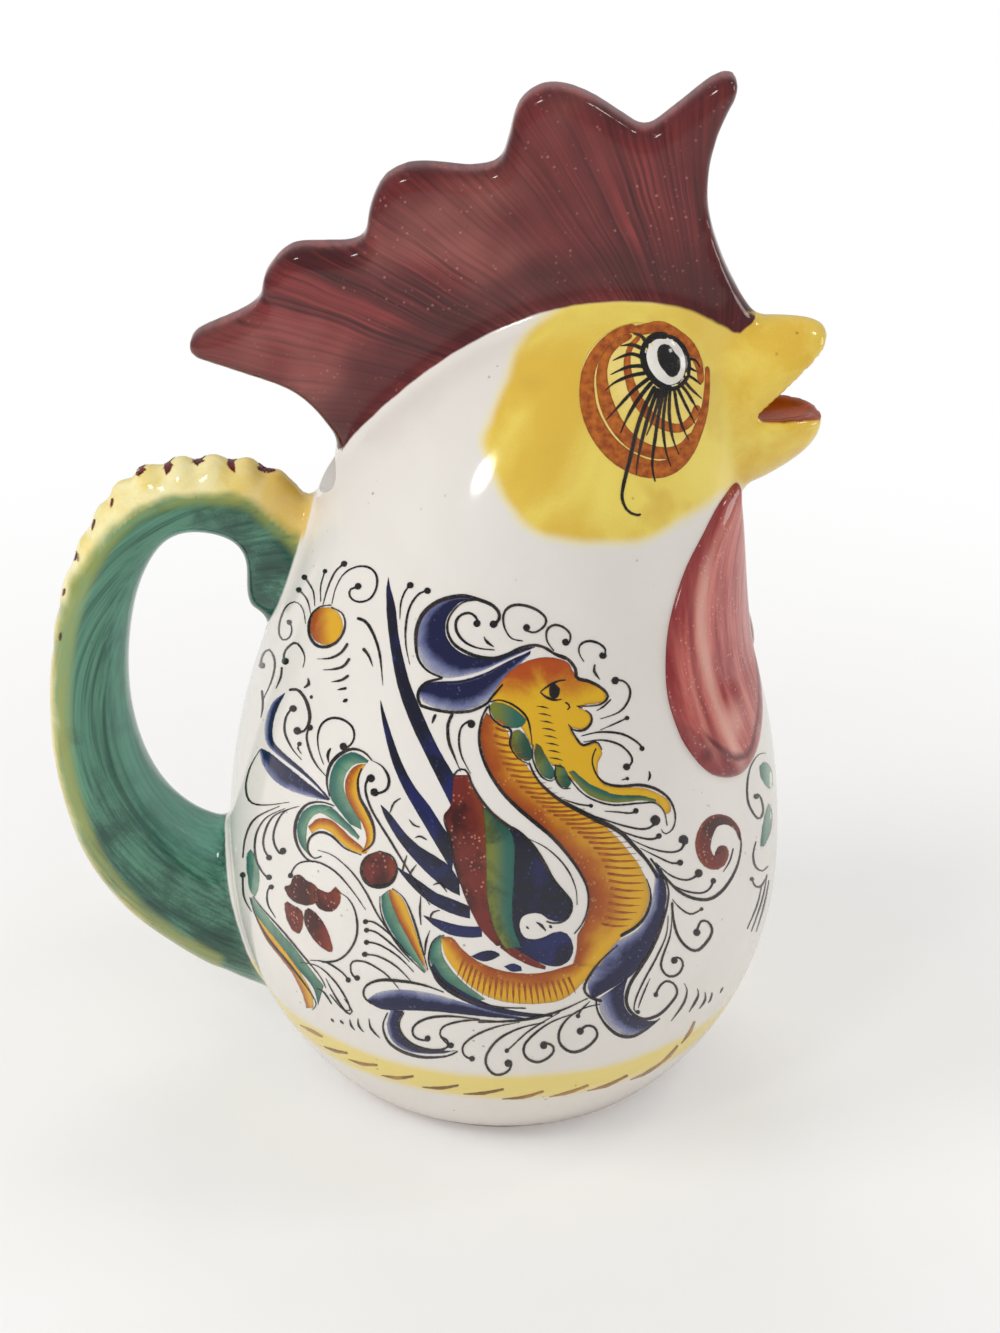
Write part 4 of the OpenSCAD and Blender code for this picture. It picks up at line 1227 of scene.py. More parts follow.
def paint_acanthus(wash, black):
    """The blue acanthus that crests the head, and the curls that run before it."""
    wash.band(
        [(474, 599), (458, 597), (443, 600), (430, 607), (421, 618), (417, 632), (417, 647), (421, 661),
         (430, 671), (443, 678), (460, 677), (480, 672), (500, 663), (518, 655), (535, 648)],
        [(474, 601), (462, 602), (453, 610), (447, 620), (446, 632), (450, 642), (458, 650), (468, 655),
         (480, 658), (492, 658), (503, 656), (512, 653), (521, 649), (528, 647), (535, 646)], 5)
    wash.band(
        [(418, 694), (424, 703), (438, 709), (455, 711), (472, 709), (488, 701), (500, 688), (515, 670),
         (530, 655)],
        [(419, 689), (427, 683), (440, 681), (458, 680), (475, 676), (490, 670), (505, 662), (518, 656),
         (531, 650)], 5)
    black.strokes([
        (1.6, 3.2, 2.4, 3.2, [(443, 678), (428, 671), (419, 660), (416, 645), (417, 628), (423, 614),
         (434, 604), (448, 598), (464, 596), (480, 600), (492, 605), (499, 613), (498, 621), (490, 626)]),
        (1.2, 2.6, 1.8, 0, [(478, 600), (464, 602), (454, 610), (448, 621), (448, 633), (454, 644),
         (466, 652), (480, 657), (495, 658), (508, 654), (520, 648), (534, 645), (546, 648), (556, 655),
         (566, 659)]),
        (1, 2.2, 1.8, 3, [(495, 650), (478, 648), (465, 642), (457, 632), (456, 622), (461, 615), (470, 613),
         (477, 619), (476, 627)]),
        (0.8, 2.4, 0.8, 0, [(484, 636), (486, 641), (494, 647)]),
        (1.6, 2.6, 2, 0, [(443, 678), (428, 682), (420, 689), (418, 697), (421, 706)]),
        (2.4, 2.4, 1.6, 0, [(420, 705), (432, 709), (450, 712), (470, 711), (486, 704), (492, 697),
         (503, 684)]),
        (1.2, 2.2, 1.6, 3, [(523, 641), (511, 638), (504, 626), (504, 613), (511, 606), (522, 605),
         (535, 609), (545, 617), (545, 625), (536, 632), (528, 631), (526, 624)]),
        (1.2, 2, 1.6, 3, [(554, 651), (547, 641), (547, 630), (554, 625), (563, 627), (570, 634), (569, 642),
         (562, 641)]),
        (1, 2, 1.6, 3, [(584, 662), (579, 653), (580, 645), (588, 641), (598, 643), (605, 649), (604, 655),
         (599, 655)]),
        (1.4, 2.4, 0.8, 0, [(595, 664), (594, 671), (600, 680)]),
        (0.8, 1.8, 1.6, 3.2, [(600, 719), (619, 712), (628, 701), (630, 690), (625, 682), (617, 680),
         (612, 683)]),
        (0.8, 1.6, 1.2, 0, [(596, 711), (604, 706), (611, 699)]),
        (0.8, 1.4, 1.4, 2, [(600, 730), (614, 724), (629, 717)]),
        (1, 1.8, 1.6, 2.2, [(581, 736), (600, 732), (622, 734), (638, 743), (643, 751)]),
        (1, 1.8, 1.6, 3, [(583, 742), (602, 740), (620, 745), (631, 756), (631, 764), (623, 768)]),
        (0.8, 1.2, 1, 1.6, [(621, 780), (629, 778)]),
        (1, 2, 1, 0, [(649, 771), (650, 776), (648, 781)]),
        (0.8, 1.5, 1.4, 2.8, [(400, 620), (401, 603), (406, 590), (413, 583)]),
        (0.8, 1.8, 1.6, 2.8, [(410, 665), (406, 645), (406, 625), (410, 607), (419, 594), (431, 590)]),
        (2.4, 2.4, 0.8, 0, [(453, 713), (448, 725), (449, 742), (455, 758), (461, 772)]),
        (0.8, 1.8, 1.6, 3.4, [(471, 774), (462, 757), (459, 741), (461, 728), (468, 722), (474, 727)]),
        (2, 2.4, 0.8, 0, [(436, 714), (434, 718), (432, 724)])])


def paint_throat_curls(black, maroon):
    """Curls that spring from the neck's front, and the brown spiral under the wattle."""
    maroon.stroke([
            (740, 841), (737, 829), (726, 820), (713, 822), (705, 834), (703, 849), (709, 861), (718, 862),
            (722, 853), (719, 846)], 4, 16.5, 14.5)
    black.strokes([
        (0.8, 1.4, 1.4, 1.8, [(563, 799), (578, 804), (593, 806)]),
        (0.8, 1.5, 1.5, 2.4, [(604, 811), (618, 812), (631, 813), (638, 809)]),
        (0.8, 1.5, 1.8, 4.2, [(576, 809), (600, 818), (625, 826), (643, 829), (653, 825), (656, 815)]),
        (0.8, 1.4, 1.8, 2.4, [(590, 820), (615, 829), (638, 837), (653, 839), (661, 834)]),
        (0.8, 1.5, 1.8, 4, [(628, 838), (650, 848), (668, 852), (680, 850), (684, 842), (680, 836)]),
        (0.8, 1.5, 1.6, 2.6, [(640, 848), (658, 857), (672, 863), (683, 862)]),
        (0.8, 1.5, 1.6, 3.4, [(655, 862), (670, 875), (686, 880), (697, 875), (699, 869)]),
        (0.8, 1.5, 1.6, 2.4, [(660, 876), (680, 889), (700, 893), (710, 888), (714, 878)]),
        (1.8, 2.4, 1.2, 0, [(650, 858), (664, 876), (680, 892), (697, 899), (712, 898), (726, 886),
         (737, 866), (741, 845), (739, 832)]),
        (0.8, 1.3, 1, 0, [(723, 872), (730, 860), (733, 848)]),
        (0.8, 1.6, 1.2, 1.6, [(672, 899), (680, 908), (691, 914), (703, 908)]),
        (1.8, 2.2, 1.6, 3, [(672, 902), (673, 918), (678, 936), (688, 948), (698, 950), (708, 940),
         (712, 930), (708, 922), (701, 921), (697, 930), (697, 936)]),
        (0.8, 1.8, 1.6, 2.8, [(672, 912), (670, 935), (663, 955), (661, 967), (668, 976), (678, 974),
         (683, 964), (678, 957), (672, 963)]),
        (0.8, 1.8, 0.8, 0, [(684, 983), (687, 991), (683, 1004), (671, 1021)]),
        (0.8, 2, 0.8, 0, [(697, 988), (698, 996), (689, 1012)]),
        (0.8, 1.8, 0.8, 0, [(705, 992), (705, 1000), (699, 1009)]),
        (0.8, 1.6, 0.8, 0, [(712, 992), (711, 998), (708, 1003)]),
        (0.8, 1.4, 0.8, 0, [(723, 987), (720, 993)]),
        (1, 2.2, 1.8, 3, [(600, 1004), (584, 1008), (568, 1018), (559, 1032), (561, 1045), (573, 1052),
         (587, 1047), (597, 1036), (594, 1027), (585, 1026), (578, 1034)]),
        (0.8, 1.4, 1.4, 2, [(590, 1001), (581, 1010), (577, 1018)]),
        (1, 2, 1.8, 3.2, [(572, 1014), (551, 1022), (534, 1034), (524, 1046), (526, 1057), (538, 1062),
         (550, 1056), (554, 1048), (547, 1043), (541, 1048)]),
        (1, 2, 1.8, 3.2, [(545, 1022), (520, 1028), (500, 1038), (488, 1052), (486, 1064), (494, 1074),
         (505, 1073), (511, 1066), (505, 1061)]),
        (0.8, 1.8, 1.4, 2.4, [(520, 1022), (495, 1027), (474, 1036), (463, 1046), (465, 1056), (475, 1059)]),
        (0.8, 1.4, 1.2, 2, [(560, 1012), (530, 1030), (512, 1046), (505, 1052)]),
        (1.4, 2.2, 1, 0, [(478, 1022), (520, 1020), (556, 1012), (588, 998)])])


def paint_low_leaves(wash, black):
    """Two long blue leaves under the body."""
    wash.band(
        [(368, 998), (380, 991), (402, 989), (428, 992), (458, 1000), (490, 1009), (528, 1018)],
        [(369, 1003), (384, 1010), (408, 1011), (436, 1012), (464, 1015), (494, 1018), (528, 1020)], 4)
    wash.band(
        [(390, 1010), (386, 1025), (391, 1040), (404, 1050), (422, 1054), (442, 1054), (456, 1051)],
        [(404, 1011), (399, 1022), (402, 1034), (412, 1044), (426, 1049), (442, 1050), (456, 1050)], 4)
    black.strokes([
        (1.4, 2.4, 1.2, 0, [(372, 1004), (364, 996), (366, 986), (380, 980), (402, 981), (424, 985),
         (444, 992)]),
        (1.2, 2.4, 1.4, 0, [(388, 1012), (383, 1026), (389, 1042), (404, 1052), (424, 1057), (446, 1056),
         (458, 1051)]),
        (1.4, 2.4, 1.4, 0, [(404, 1012), (399, 1024), (404, 1037), (416, 1046), (432, 1050), (446, 1048),
         (448, 1041), (440, 1036)]),
        (1, 2, 1.6, 2.6, [(480, 1019), (450, 1016), (428, 1018), (414, 1026), (414, 1036), (424, 1040),
         (430, 1036)]),
        (0.8, 1.6, 1.4, 2.6, [(500, 1021), (470, 1020), (446, 1025), (440, 1034), (448, 1044), (454, 1045)]),
        (0.8, 1.6, 0.8, 0, [(344, 998), (352, 1010), (350, 1014), (343, 1008), (332, 990), (326, 978)]),
        (0.8, 1.8, 0.8, 0, [(331, 1018), (334, 1022)]),
        (0.8, 1.8, 0.8, 0, [(340, 1020), (344, 1024)]),
        (0.8, 1.8, 0.8, 0, [(350, 1019), (351, 1025), (355, 1030)]),
        (0.8, 1.8, 0.8, 0, [(358, 1018), (359, 1026), (364, 1032)]),
        (0.8, 1.8, 0.8, 0, [(369, 1018), (371, 1028), (380, 1038)])])


def paint_ball_spray(orange, black):
    """The orange ball with its spray of hair-thin curls, behind the plumes."""
    orange.ball(326, 626, 17.5, 1.12)
    black.strokes([
        (1.2, 2.4, 1.2, 0, [(331, 607), (343, 614), (345, 628), (338, 641), (326, 647), (315, 644),
         (309, 632), (311, 616), (320, 607), (332, 605)]),
        (0.8, 1.5, 1.4, 2.6, [(323, 606), (328, 588), (336, 571), (347, 562)]),
        (0.8, 1.8, 1.6, 2.8, [(332, 604), (336, 588), (344, 574), (356, 567), (368, 567), (376, 574),
         (377, 586), (371, 598), (360, 602), (351, 598), (350, 590), (357, 587), (361, 584)]),
        (0.8, 1.2, 1.2, 2, [(321, 602), (321, 586), (326, 569)]),
        (0.8, 1.4, 1.4, 2.4, [(315, 606), (313, 590), (303, 575)]),
        (0.8, 1.4, 1.4, 2.4, [(311, 614), (307, 599), (297, 588)]),
        (0.8, 1.4, 1.2, 2.2, [(306, 624), (303, 609), (296, 602), (287, 606), (281, 618), (279, 632),
         (283, 640), (290, 637), (292, 628), (288, 620)]),
        (2.4, 2, 0.7, 0, [(357, 618), (366, 622), (374, 635), (380, 655), (383, 686)]),
        (2.6, 1.8, 0.7, 0, [(363, 648), (369, 656), (373, 667)]),
        (2.2, 2, 0.7, 0, [(348, 643), (342, 652), (331, 658), (317, 659)]),
        (2.2, 2, 0.7, 0, [(350, 658), (344, 666), (335, 669), (323, 670)]),
        (2.2, 2, 0.7, 0, [(349, 675), (342, 680), (331, 682)]),
        (2.2, 1.8, 0.7, 0, [(347, 688), (337, 690)]),
        (1.4, 2.8, 1.4, 0, [(343, 702), (348, 699)]),
        (1.4, 2.6, 1.4, 0, [(311, 699), (312, 695)]),
        (0.8, 1.8, 1.6, 3, [(303, 668), (305, 657), (300, 646), (294, 643), (286, 650), (284, 658),
         (288, 664)]),
        (1.2, 2.6, 1.2, 0, [(308, 678), (309, 684), (304, 688)]),
        (0.8, 1.6, 1.4, 2.6, [(263, 700), (272, 680), (275, 662), (270, 650), (264, 653), (261, 662),
         (264, 668)]),
        (1.6, 1.6, 0.8, 0, [(282, 667), (281, 677), (276, 689)]),
        (1.6, 1.6, 0.8, 0, [(262, 690), (263, 705), (261, 718)])])


def paint_left_leaves(wash, green, orange, maroon, black):
    """Blue leaf, two three-coloured leaves, berry, flower and long leaves beside the handle."""
    wash.band(
        [(284, 693), (273, 701), (266, 716), (264, 732), (267, 745), (278, 756), (294, 768), (311, 782),
         (328, 800)],
        [(286, 693), (281, 703), (275, 718), (273, 733), (276, 744), (288, 756), (302, 768), (317, 783),
         (331, 799)], 4)
    wash.band(
        [(259, 750), (262, 764), (272, 779), (288, 790), (308, 797), (328, 801)],
        [(262, 748), (270, 752), (280, 760), (294, 771), (310, 784), (330, 799)], 4)
    green.band(
        [(369, 760), (356, 752), (344, 754), (334, 764), (329, 780), (330, 797), (340, 812), (350, 824)],
        [(367, 764), (357, 764), (349, 770), (344, 782), (346, 795), (354, 808), (360, 818), (362, 830)], 4)
    orange.band(
        [(366, 763), (354, 766), (346, 778), (345, 792), (352, 808), (362, 824), (366, 838), (362, 852)],
        [(366, 765), (361, 774), (359, 788), (363, 802), (370, 815), (375, 830), (374, 843), (366, 854)], 4)
    green.band(
        [(330, 806), (318, 804), (306, 808), (298, 820), (297, 836), (302, 848), (310, 857)],
        [(334, 808), (324, 812), (314, 816), (308, 826), (307, 838), (308, 848), (313, 856)], 3)
    green.band(
        [(322, 804), (334, 808), (344, 818), (354, 828), (360, 836)],
        [(316, 811), (326, 816), (338, 824), (350, 834), (358, 840)], 3)
    orange.band(
        [(308, 826), (318, 818), (330, 819), (342, 828), (352, 838), (362, 846), (367, 852)],
        [(312, 834), (321, 829), (331, 833), (340, 842), (350, 850), (360, 854), (366, 854)], 4)
    maroon.ball(379, 869, 17.5)
    maroon.patch([
            (284, 886), (290, 884), (293, 876), (300, 874), (307, 880), (315, 884), (320, 891), (318, 902),
            (306, 906), (294, 902), (287, 895)], 6)
    maroon.patch([
            (316, 888), (328, 892), (336, 886), (341, 892), (340, 904), (332, 912), (320, 910),
            (314, 900)], 6)
    maroon.patch([(284, 900), (292, 904), (302, 910), (304, 922), (300, 934), (292, 930), (286, 918)], 6)
    maroon.patch([
            (306, 908), (316, 912), (326, 926), (332, 942), (333, 952), (324, 950), (312, 938),
            (304, 922)], 6)
    green.patch([
            (248, 848), (254, 852), (259, 866), (260, 882), (256, 897), (250, 892), (247, 876),
            (246, 860)], 6)
    green.band(
        [(250, 898), (256, 915), (268, 936), (284, 954), (300, 972), (313, 988), (318, 1006)],
        [(253, 897), (262, 908), (276, 926), (292, 944), (306, 962), (318, 978), (324, 985)], 3)
    orange.band(
        [(256, 920), (266, 940), (280, 958), (292, 974), (302, 994), (306, 1008)],
        [(258, 916), (272, 934), (288, 954), (302, 974), (312, 992), (314, 1008)], 3)
    green.band(
        [(381, 896), (382, 912), (390, 930), (404, 950), (424, 972)],
        [(388, 890), (394, 904), (404, 924), (414, 944), (427, 972)], 3)
    orange.band(
        [(388, 890), (392, 906), (402, 928), (414, 950), (427, 972)],
        [(393, 889), (404, 900), (412, 920), (420, 944), (428, 972)], 4)
    black.strokes([
        (2, 2.6, 1.6, 3.2, [(289, 690), (298, 690), (306, 700), (310, 715), (308, 726), (302, 732),
         (294, 729)]),
        (0.8, 1.8, 1.6, 3, [(302, 760), (292, 748), (285, 732), (286, 718), (291, 710), (297, 708)]),
        (0.8, 1.8, 1.6, 2.6, [(328, 778), (316, 764), (309, 748), (307, 734), (312, 725)]),
        (0.8, 1.4, 1.2, 2, [(302, 754), (298, 748), (301, 742)]),
        (1.4, 2.4, 0.8, 0, [(331, 748), (328, 754), (329, 763)]),
        (0.8, 1.9, 1.6, 3.2, [(324, 765), (319, 750), (318, 736), (322, 724), (332, 718), (344, 720),
         (353, 728), (354, 739), (348, 747), (340, 745)]),
        (1.2, 2.8, 1.4, 0, [(330, 797), (327, 782), (330, 766), (339, 755), (352, 749), (364, 752),
         (372, 760)]),
        (0.8, 2.2, 1.8, 3.4, [(371, 760), (382, 766), (389, 778), (387, 789), (378, 793), (371, 790)]),
        (0.8, 1.8, 1.8, 3.4, [(430, 905), (412, 876), (390, 840), (373, 812), (366, 793), (367, 781),
         (375, 777)]),
        (1.4, 2.4, 1.4, 0, [(362, 852), (373, 843), (374, 828), (368, 812), (360, 797), (358, 780),
         (362, 768)]),
        (1.2, 2.4, 1.4, 0, [(335, 806), (322, 802), (308, 804), (299, 814), (295, 830), (298, 846),
         (306, 858), (314, 862)]),
        (1, 2, 1.2, 0, [(362, 855), (345, 848), (332, 836), (320, 832), (310, 838), (308, 850), (314, 858),
         (322, 856)]),
        (1.2, 2.6, 1.2, 0, [(379, 851), (392, 856), (397, 869), (392, 882), (380, 887), (367, 883),
         (361, 870), (366, 857), (380, 851)]),
        (0.8, 1.6, 1.2, 2.2, [(366, 910), (352, 890), (336, 872), (318, 862), (302, 862), (294, 868),
         (290, 878)]),
        (0.8, 1.8, 1.6, 0, [(334, 890), (348, 898), (356, 914), (357, 934), (350, 950), (338, 960),
         (322, 962)]),
        (0.8, 1.6, 0.8, 0, [(318, 850), (334, 856), (352, 872), (366, 892), (378, 915), (392, 935),
         (410, 956)]),
        (0.8, 1.6, 0.8, 0, [(260, 750), (250, 768), (246, 788), (251, 802), (266, 805), (290, 802)]),
        (0.8, 1.6, 1.6, 2.8, [(300, 806), (284, 812), (275, 828), (274, 842), (280, 853), (285, 848)]),
        (0.8, 1.6, 1.4, 2.4, [(292, 808), (274, 816), (265, 832), (264, 848), (271, 860)]),
        (0.8, 1.6, 1.4, 2.4, [(286, 808), (266, 818), (256, 836), (256, 858), (264, 874), (272, 878)]),
        (0.8, 1.6, 1.2, 0, [(280, 806), (256, 818), (246, 836), (243, 858)]),
        (0.8, 1.6, 1.4, 2.4, [(252, 912), (244, 896), (243, 872)]),
        (0.8, 1.5, 1.2, 2.2, [(276, 918), (268, 904), (268, 890), (274, 886)]),
        (0.9, 1.8, 0.9, 0, [(380, 896), (381, 912), (389, 931), (404, 952), (425, 973)]),
        (0.9, 1.8, 0.9, 0, [(392, 888), (404, 898), (413, 918), (421, 944), (428, 970)]),
        (0.8, 1.6, 1.4, 2.4, [(400, 990), (386, 974), (366, 962), (352, 962), (352, 974), (360, 979)]),
        (0.8, 1.6, 1.4, 2.4, [(412, 982), (396, 966), (378, 956), (362, 954)]),
        (0.8, 1.6, 1.4, 2.2, [(414, 972), (398, 956), (378, 944), (364, 942)]),
        (0.8, 1.6, 1.4, 2.2, [(410, 962), (394, 946), (376, 932), (364, 930)]),
        (0.8, 1.6, 1.4, 2.2, [(404, 948), (390, 934), (374, 922), (363, 922)]),
        (0.8, 1.5, 1, 0, [(300, 962), (318, 966), (334, 980), (346, 998), (350, 1010), (342, 1008),
         (330, 994)]),
        (0.8, 1.5, 1.2, 2.2, [(310, 960), (326, 962), (342, 972), (350, 982)]),
        (0.8, 1.5, 1.2, 0, [(316, 988), (324, 992), (332, 1004)]),
        (0.9, 1.8, 0.9, 0, [(250, 897), (256, 916), (268, 938), (286, 960), (302, 980), (316, 1002),
         (312, 1010)]),
        (0.9, 1.6, 0.9, 0, [(253, 896), (264, 910), (282, 930), (302, 954), (320, 976), (326, 988)])])


def paint_breast(green, black):
    """The leaves and curls that the two sides share on the breast."""
    green.patch([(759, 765), (765, 761), (771, 767), (773, 778), (772, 790), (766, 787), (760, 777)], 5)
    green.patch([(771, 800), (766, 808), (762, 825), (759, 851), (766, 844), (771, 832), (773, 817)], 5)
    black.strokes([
        (0.8, 1.6, 1.4, 2.2, [(766, 753), (758, 755), (750, 768), (747, 786), (748, 802), (753, 813),
         (759, 819), (763, 812), (762, 802), (758, 794), (755, 799)]),
        (0.8, 1.6, 1, 0, [(756, 841), (753, 854), (755, 866), (762, 871), (768, 866)]),
        (0.8, 1.6, 1, 1.8, [(767, 876), (761, 886), (755, 886), (751, 877)]),
        (0.8, 1.2, 0.8, 0, [(767, 874), (762, 900), (751, 932)]),
        (0.8, 1.2, 0.8, 0, [(769, 880), (764, 905), (756, 932)]),
        (0.8, 1.2, 0.8, 0, [(762, 884), (757, 905), (747, 929)])])


def paint_base_dashes(ochre):
    """The slanting dashes along the yellow band at the base."""
    for line in (
            [(300, 1025), (312, 1031), (323, 1037)],
            [(323, 1046), (336, 1051), (348, 1053)],
            [(348, 1059), (363, 1064), (378, 1065)],
            [(381, 1075), (398, 1078), (414, 1076)],
            [(422, 1087), (441, 1088), (459, 1085)],
            [(463, 1094), (484, 1093), (504, 1089)],
            [(502, 1099), (524, 1097), (544, 1091)],
            [(549, 1097), (570, 1092), (589, 1085)],
            [(587, 1091), (608, 1085), (628, 1075)],
            [(630, 1080), (646, 1073), (661, 1063)],
            [(656, 1067), (668, 1057), (678, 1045)],
            [(681, 1044), (689, 1033), (695, 1021)]):
        ochre.stroke(line, 1.2, 2.6, 2)


def paint_crest(maroon):
    """A dab of maroon in each dip of the handle's crest."""
    for line in (
            [(130, 460), (134, 468), (140, 477)],
            [(168, 461), (168, 468), (166, 476)],
            [(193, 453), (196, 460), (198, 467)],
            [(229, 460), (232, 467), (235, 473)],
            [(260, 458), (263, 466), (265, 474)]):
        maroon.stroke(line, 9, 8, 3)
    for line in (
            [(113, 498), (111, 508)],
            [(95, 519), (92, 531)],
            [(77, 551), (74, 561)],
            [(65, 588), (63, 597)],
            [(61, 632), (60, 641)]):
        maroon.stroke(line, 3, 4, 2)


def paint_face(cream, sienna, eye_white, black):
    """The ringed eye patch, the eye itself and its lashes."""
    cream.patch([
            (633, 322), (614, 328), (600, 338), (588, 352), (581, 370), (580, 390), (583, 412), (591, 434),
            (604, 452), (622, 466), (642, 475), (662, 476), (677, 470), (689, 457), (699, 440), (706, 417),
            (708, 392), (706, 370), (697, 350), (682, 335), (660, 325)], 5)
    sienna.strokes([
        (7, 14.5, 4, [(636, 327), (618, 333), (604, 344), (594, 358), (588, 374), (587, 392), (590, 412),
         (599, 432), (612, 449), (628, 461), (645, 468), (662, 469), (676, 463), (688, 450), (697, 432),
         (704, 411), (707, 388), (707, 366)]),
        (5, 11, 8, [(632, 335), (618, 343), (607, 355), (602, 371), (603, 389), (608, 408), (618, 427),
         (632, 442), (649, 451), (668, 453), (684, 447), (694, 434)]),
        (4, 8, 6, [(640, 336), (630, 348), (627, 364), (630, 382), (637, 399), (648, 414), (663, 425),
         (680, 428), (692, 419), (698, 405)]),
        (8, 9, 5, [(632, 332), (646, 329), (662, 327), (680, 338), (692, 350), (699, 366), (701, 384)])])
    eye_white.patch([
            (660, 335), (672, 338), (681, 346), (687, 358), (687, 372), (682, 382), (673, 387), (662, 385),
            (652, 377), (645, 366), (644, 352), (650, 340)], 4)
    black.stroke([
            (668, 336), (655, 336), (646, 344), (643, 357), (647, 371), (656, 382), (668, 388), (679, 385),
            (686, 377), (688, 363), (684, 349), (676, 340), (667, 336)], 5, 4.6, 3.2)
    black.patch([
            (658, 348), (663, 344), (670, 346), (675, 353), (680, 359), (680, 369), (676, 376), (670, 377),
            (664, 371), (659, 364), (657, 355)], 4)
    black.strokes([
        (3, 2.6, 1, [(647, 344), (641, 336), (632, 333)]),
        (3, 2.6, 1, [(644, 350), (633, 345), (620, 346)]),
        (3, 2.4, 1, [(643, 358), (630, 354), (612, 361)]),
        (3, 2.4, 1, [(644, 366), (628, 367), (610, 375)]),
        (3, 2.4, 1, [(646, 373), (630, 376), (614, 383), (605, 391)]),
        (3, 2.4, 1, [(649, 378), (633, 391), (618, 407), (606, 420)]),
        (3.2, 2.8, 1, [(652, 382), (639, 398), (628, 416), (620, 434)]),
        (3.2, 3, 2, [(655, 386), (644, 408), (636, 432), (630, 458), (624, 482), (622, 498), (627, 510),
         (636, 515), (641, 514)]),
        (3, 2.8, 1.2, [(658, 388), (650, 410), (643, 435), (638, 458), (636, 475)]),
        (2.6, 2.4, 1, [(661, 388), (657, 404), (651, 424), (646, 436)]),
        (2.8, 2.6, 1.4, [(664, 389), (659, 412), (655, 438), (652, 464), (655, 482)]),
        (2.4, 2.4, 1, [(667, 389), (664, 410), (663, 430), (666, 452), (671, 467)]),
        (2.4, 2.4, 1, [(670, 389), (669, 412), (672, 436), (679, 455)]),
        (2.4, 2.4, 1, [(674, 388), (677, 408), (682, 426), (689, 441)]),
        (2.4, 2.2, 1, [(677, 387), (683, 400), (689, 412), (695, 424)]),
        (2.4, 2.2, 1, [(681, 385), (688, 394), (698, 411)]),
        (2.4, 2.2, 1, [(684, 381), (692, 390), (702, 399)]),
        (2.2, 2, 1, [(687, 375), (694, 379), (701, 385)]),
        (2, 1.8, 1, [(688, 367), (697, 372)]),
        (2, 1.8, 1, [(688, 359), (695, 360), (700, 368)])])
    black.ball(634, 486, 1.5)
    black.ball(602, 530, 1.1)


FACE_PATCH = [
    (487, 450), (492, 420), (500, 395), (508, 370), (520, 345), (535, 328), (555, 315), (600, 300),
    (760, 300), (900, 300), (900, 420), (820, 440), (770, 465), (740, 482), (700, 508), (650, 535),
    (580, 538), (520, 515)]


def right_or_left(bm, side):
    if side < 0:
        return
    for v in bm.verts:
        v.co.y = -v.co.y
    bmesh.ops.reverse_faces(bm, faces=bm.faces)


def make_eye(name, stands_for, side, body):
    """A low dome that rises gently from the head's side."""
    step = 0.0002
    place = shell_point(EYE_UP, EYE_TURN)
    along = (shell_point(EYE_UP, EYE_TURN + step) - place).normalized()
    out = along.cross(shell_point(EYE_UP + step, EYE_TURN) - place).normalized()
    up = out.cross(along)
    bm = bmesh.new()
    bmesh.ops.create_uvsphere(bm, u_segments=64, v_segments=48, radius=1)
    for v in bm.verts:
        thick = max(0, 1 - v.co.x ** 2 - v.co.y ** 2)
        rise = EYE_RISE * thick ** 1.4 if v.co.z > 0 else -1.2 * sqrt(thick)
        hit = body.ray(place + (along * v.co.x + up * v.co.y) * EYE_R + out * 10, -out)
        v.co = hit[0] + out * (rise - 0.05)
    right_or_left(bm, side)
    eye = solid(name, bm)
    eye.data.set_sharp_from_angle(angle=radians(40))
    eye.data.materials.append(plain_white())
    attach(eye, "root")
    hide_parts(stands_for)
    return eye


def make_wattle(name, stands_for, side, body):
    """A leaf of clay laid on the throat, rounded towards its edge."""
    way = Vector((cos(WATTLE_TURN), -sin(WATTLE_TURN), 0))
    cross = Vector((sin(WATTLE_TURN), cos(WATTLE_TURN), 0))
    outline = smooth_loop([(-x * WATTLE_W, y * WATTLE_H) for x, y in WATTLE_SHARES], 9)
    middle = Vector((0.06 * WATTLE_W, -0.56 * WATTLE_H))
    rows, count = 30, len(outline)
    pairs = [(p.x, p.y) for p in outline]
    bm = bmesh.new()
    out = bm.verts.layers.float_vector.new("out")
    layers = [bm.verts.layers.float.new(label) for label in ("edge", "along", "across")]
    bmesh.ops.create_grid(bm, x_segments=count, y_segments=rows, size=1)
    bm.verts.ensure_lookup_table()
    for n, v in enumerate(bm.verts):
        i, j = divmod(n, count + 1)
        share = sin(pi / 2 * i / rows)
        flat = middle.lerp(outline[j % count], share)
        start = cross * flat.x + Vector((0, 0, WATTLE_Z + flat.y)) + way * 200
        hit = body.ray(start, -way)
        off = max(0, signed_to_loop(flat.x, flat.y, pairs)) if i < rows else 0
        rise = WATTLE_RISE * sqrt(1 - (1 - min(off / WATTLE_ROUND, 1)) ** 2)
        v.co, v[out] = hit[0] + hit[1] * (rise - 0.05), hit[1]
        v[layers[0]], v[layers[1]], v[layers[2]] = off, -flat.y / WATTLE_H, flat.x / WATTLE_W + 0.5
    bmesh.ops.remove_doubles(bm, verts=bm.verts, dist=1e-5)
    close_under(bm, WATTLE_BACK)
    bmesh.ops.recalc_face_normals(bm, faces=bm.faces)
    right_or_left(bm, side)
    wattle = solid(name, bm)
    wattle.data.set_sharp_from_angle(angle=radians(50))
    wattle.data.materials.append(wattle_glaze())
    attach(wattle, "root")
    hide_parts(stands_for)
    return wattle


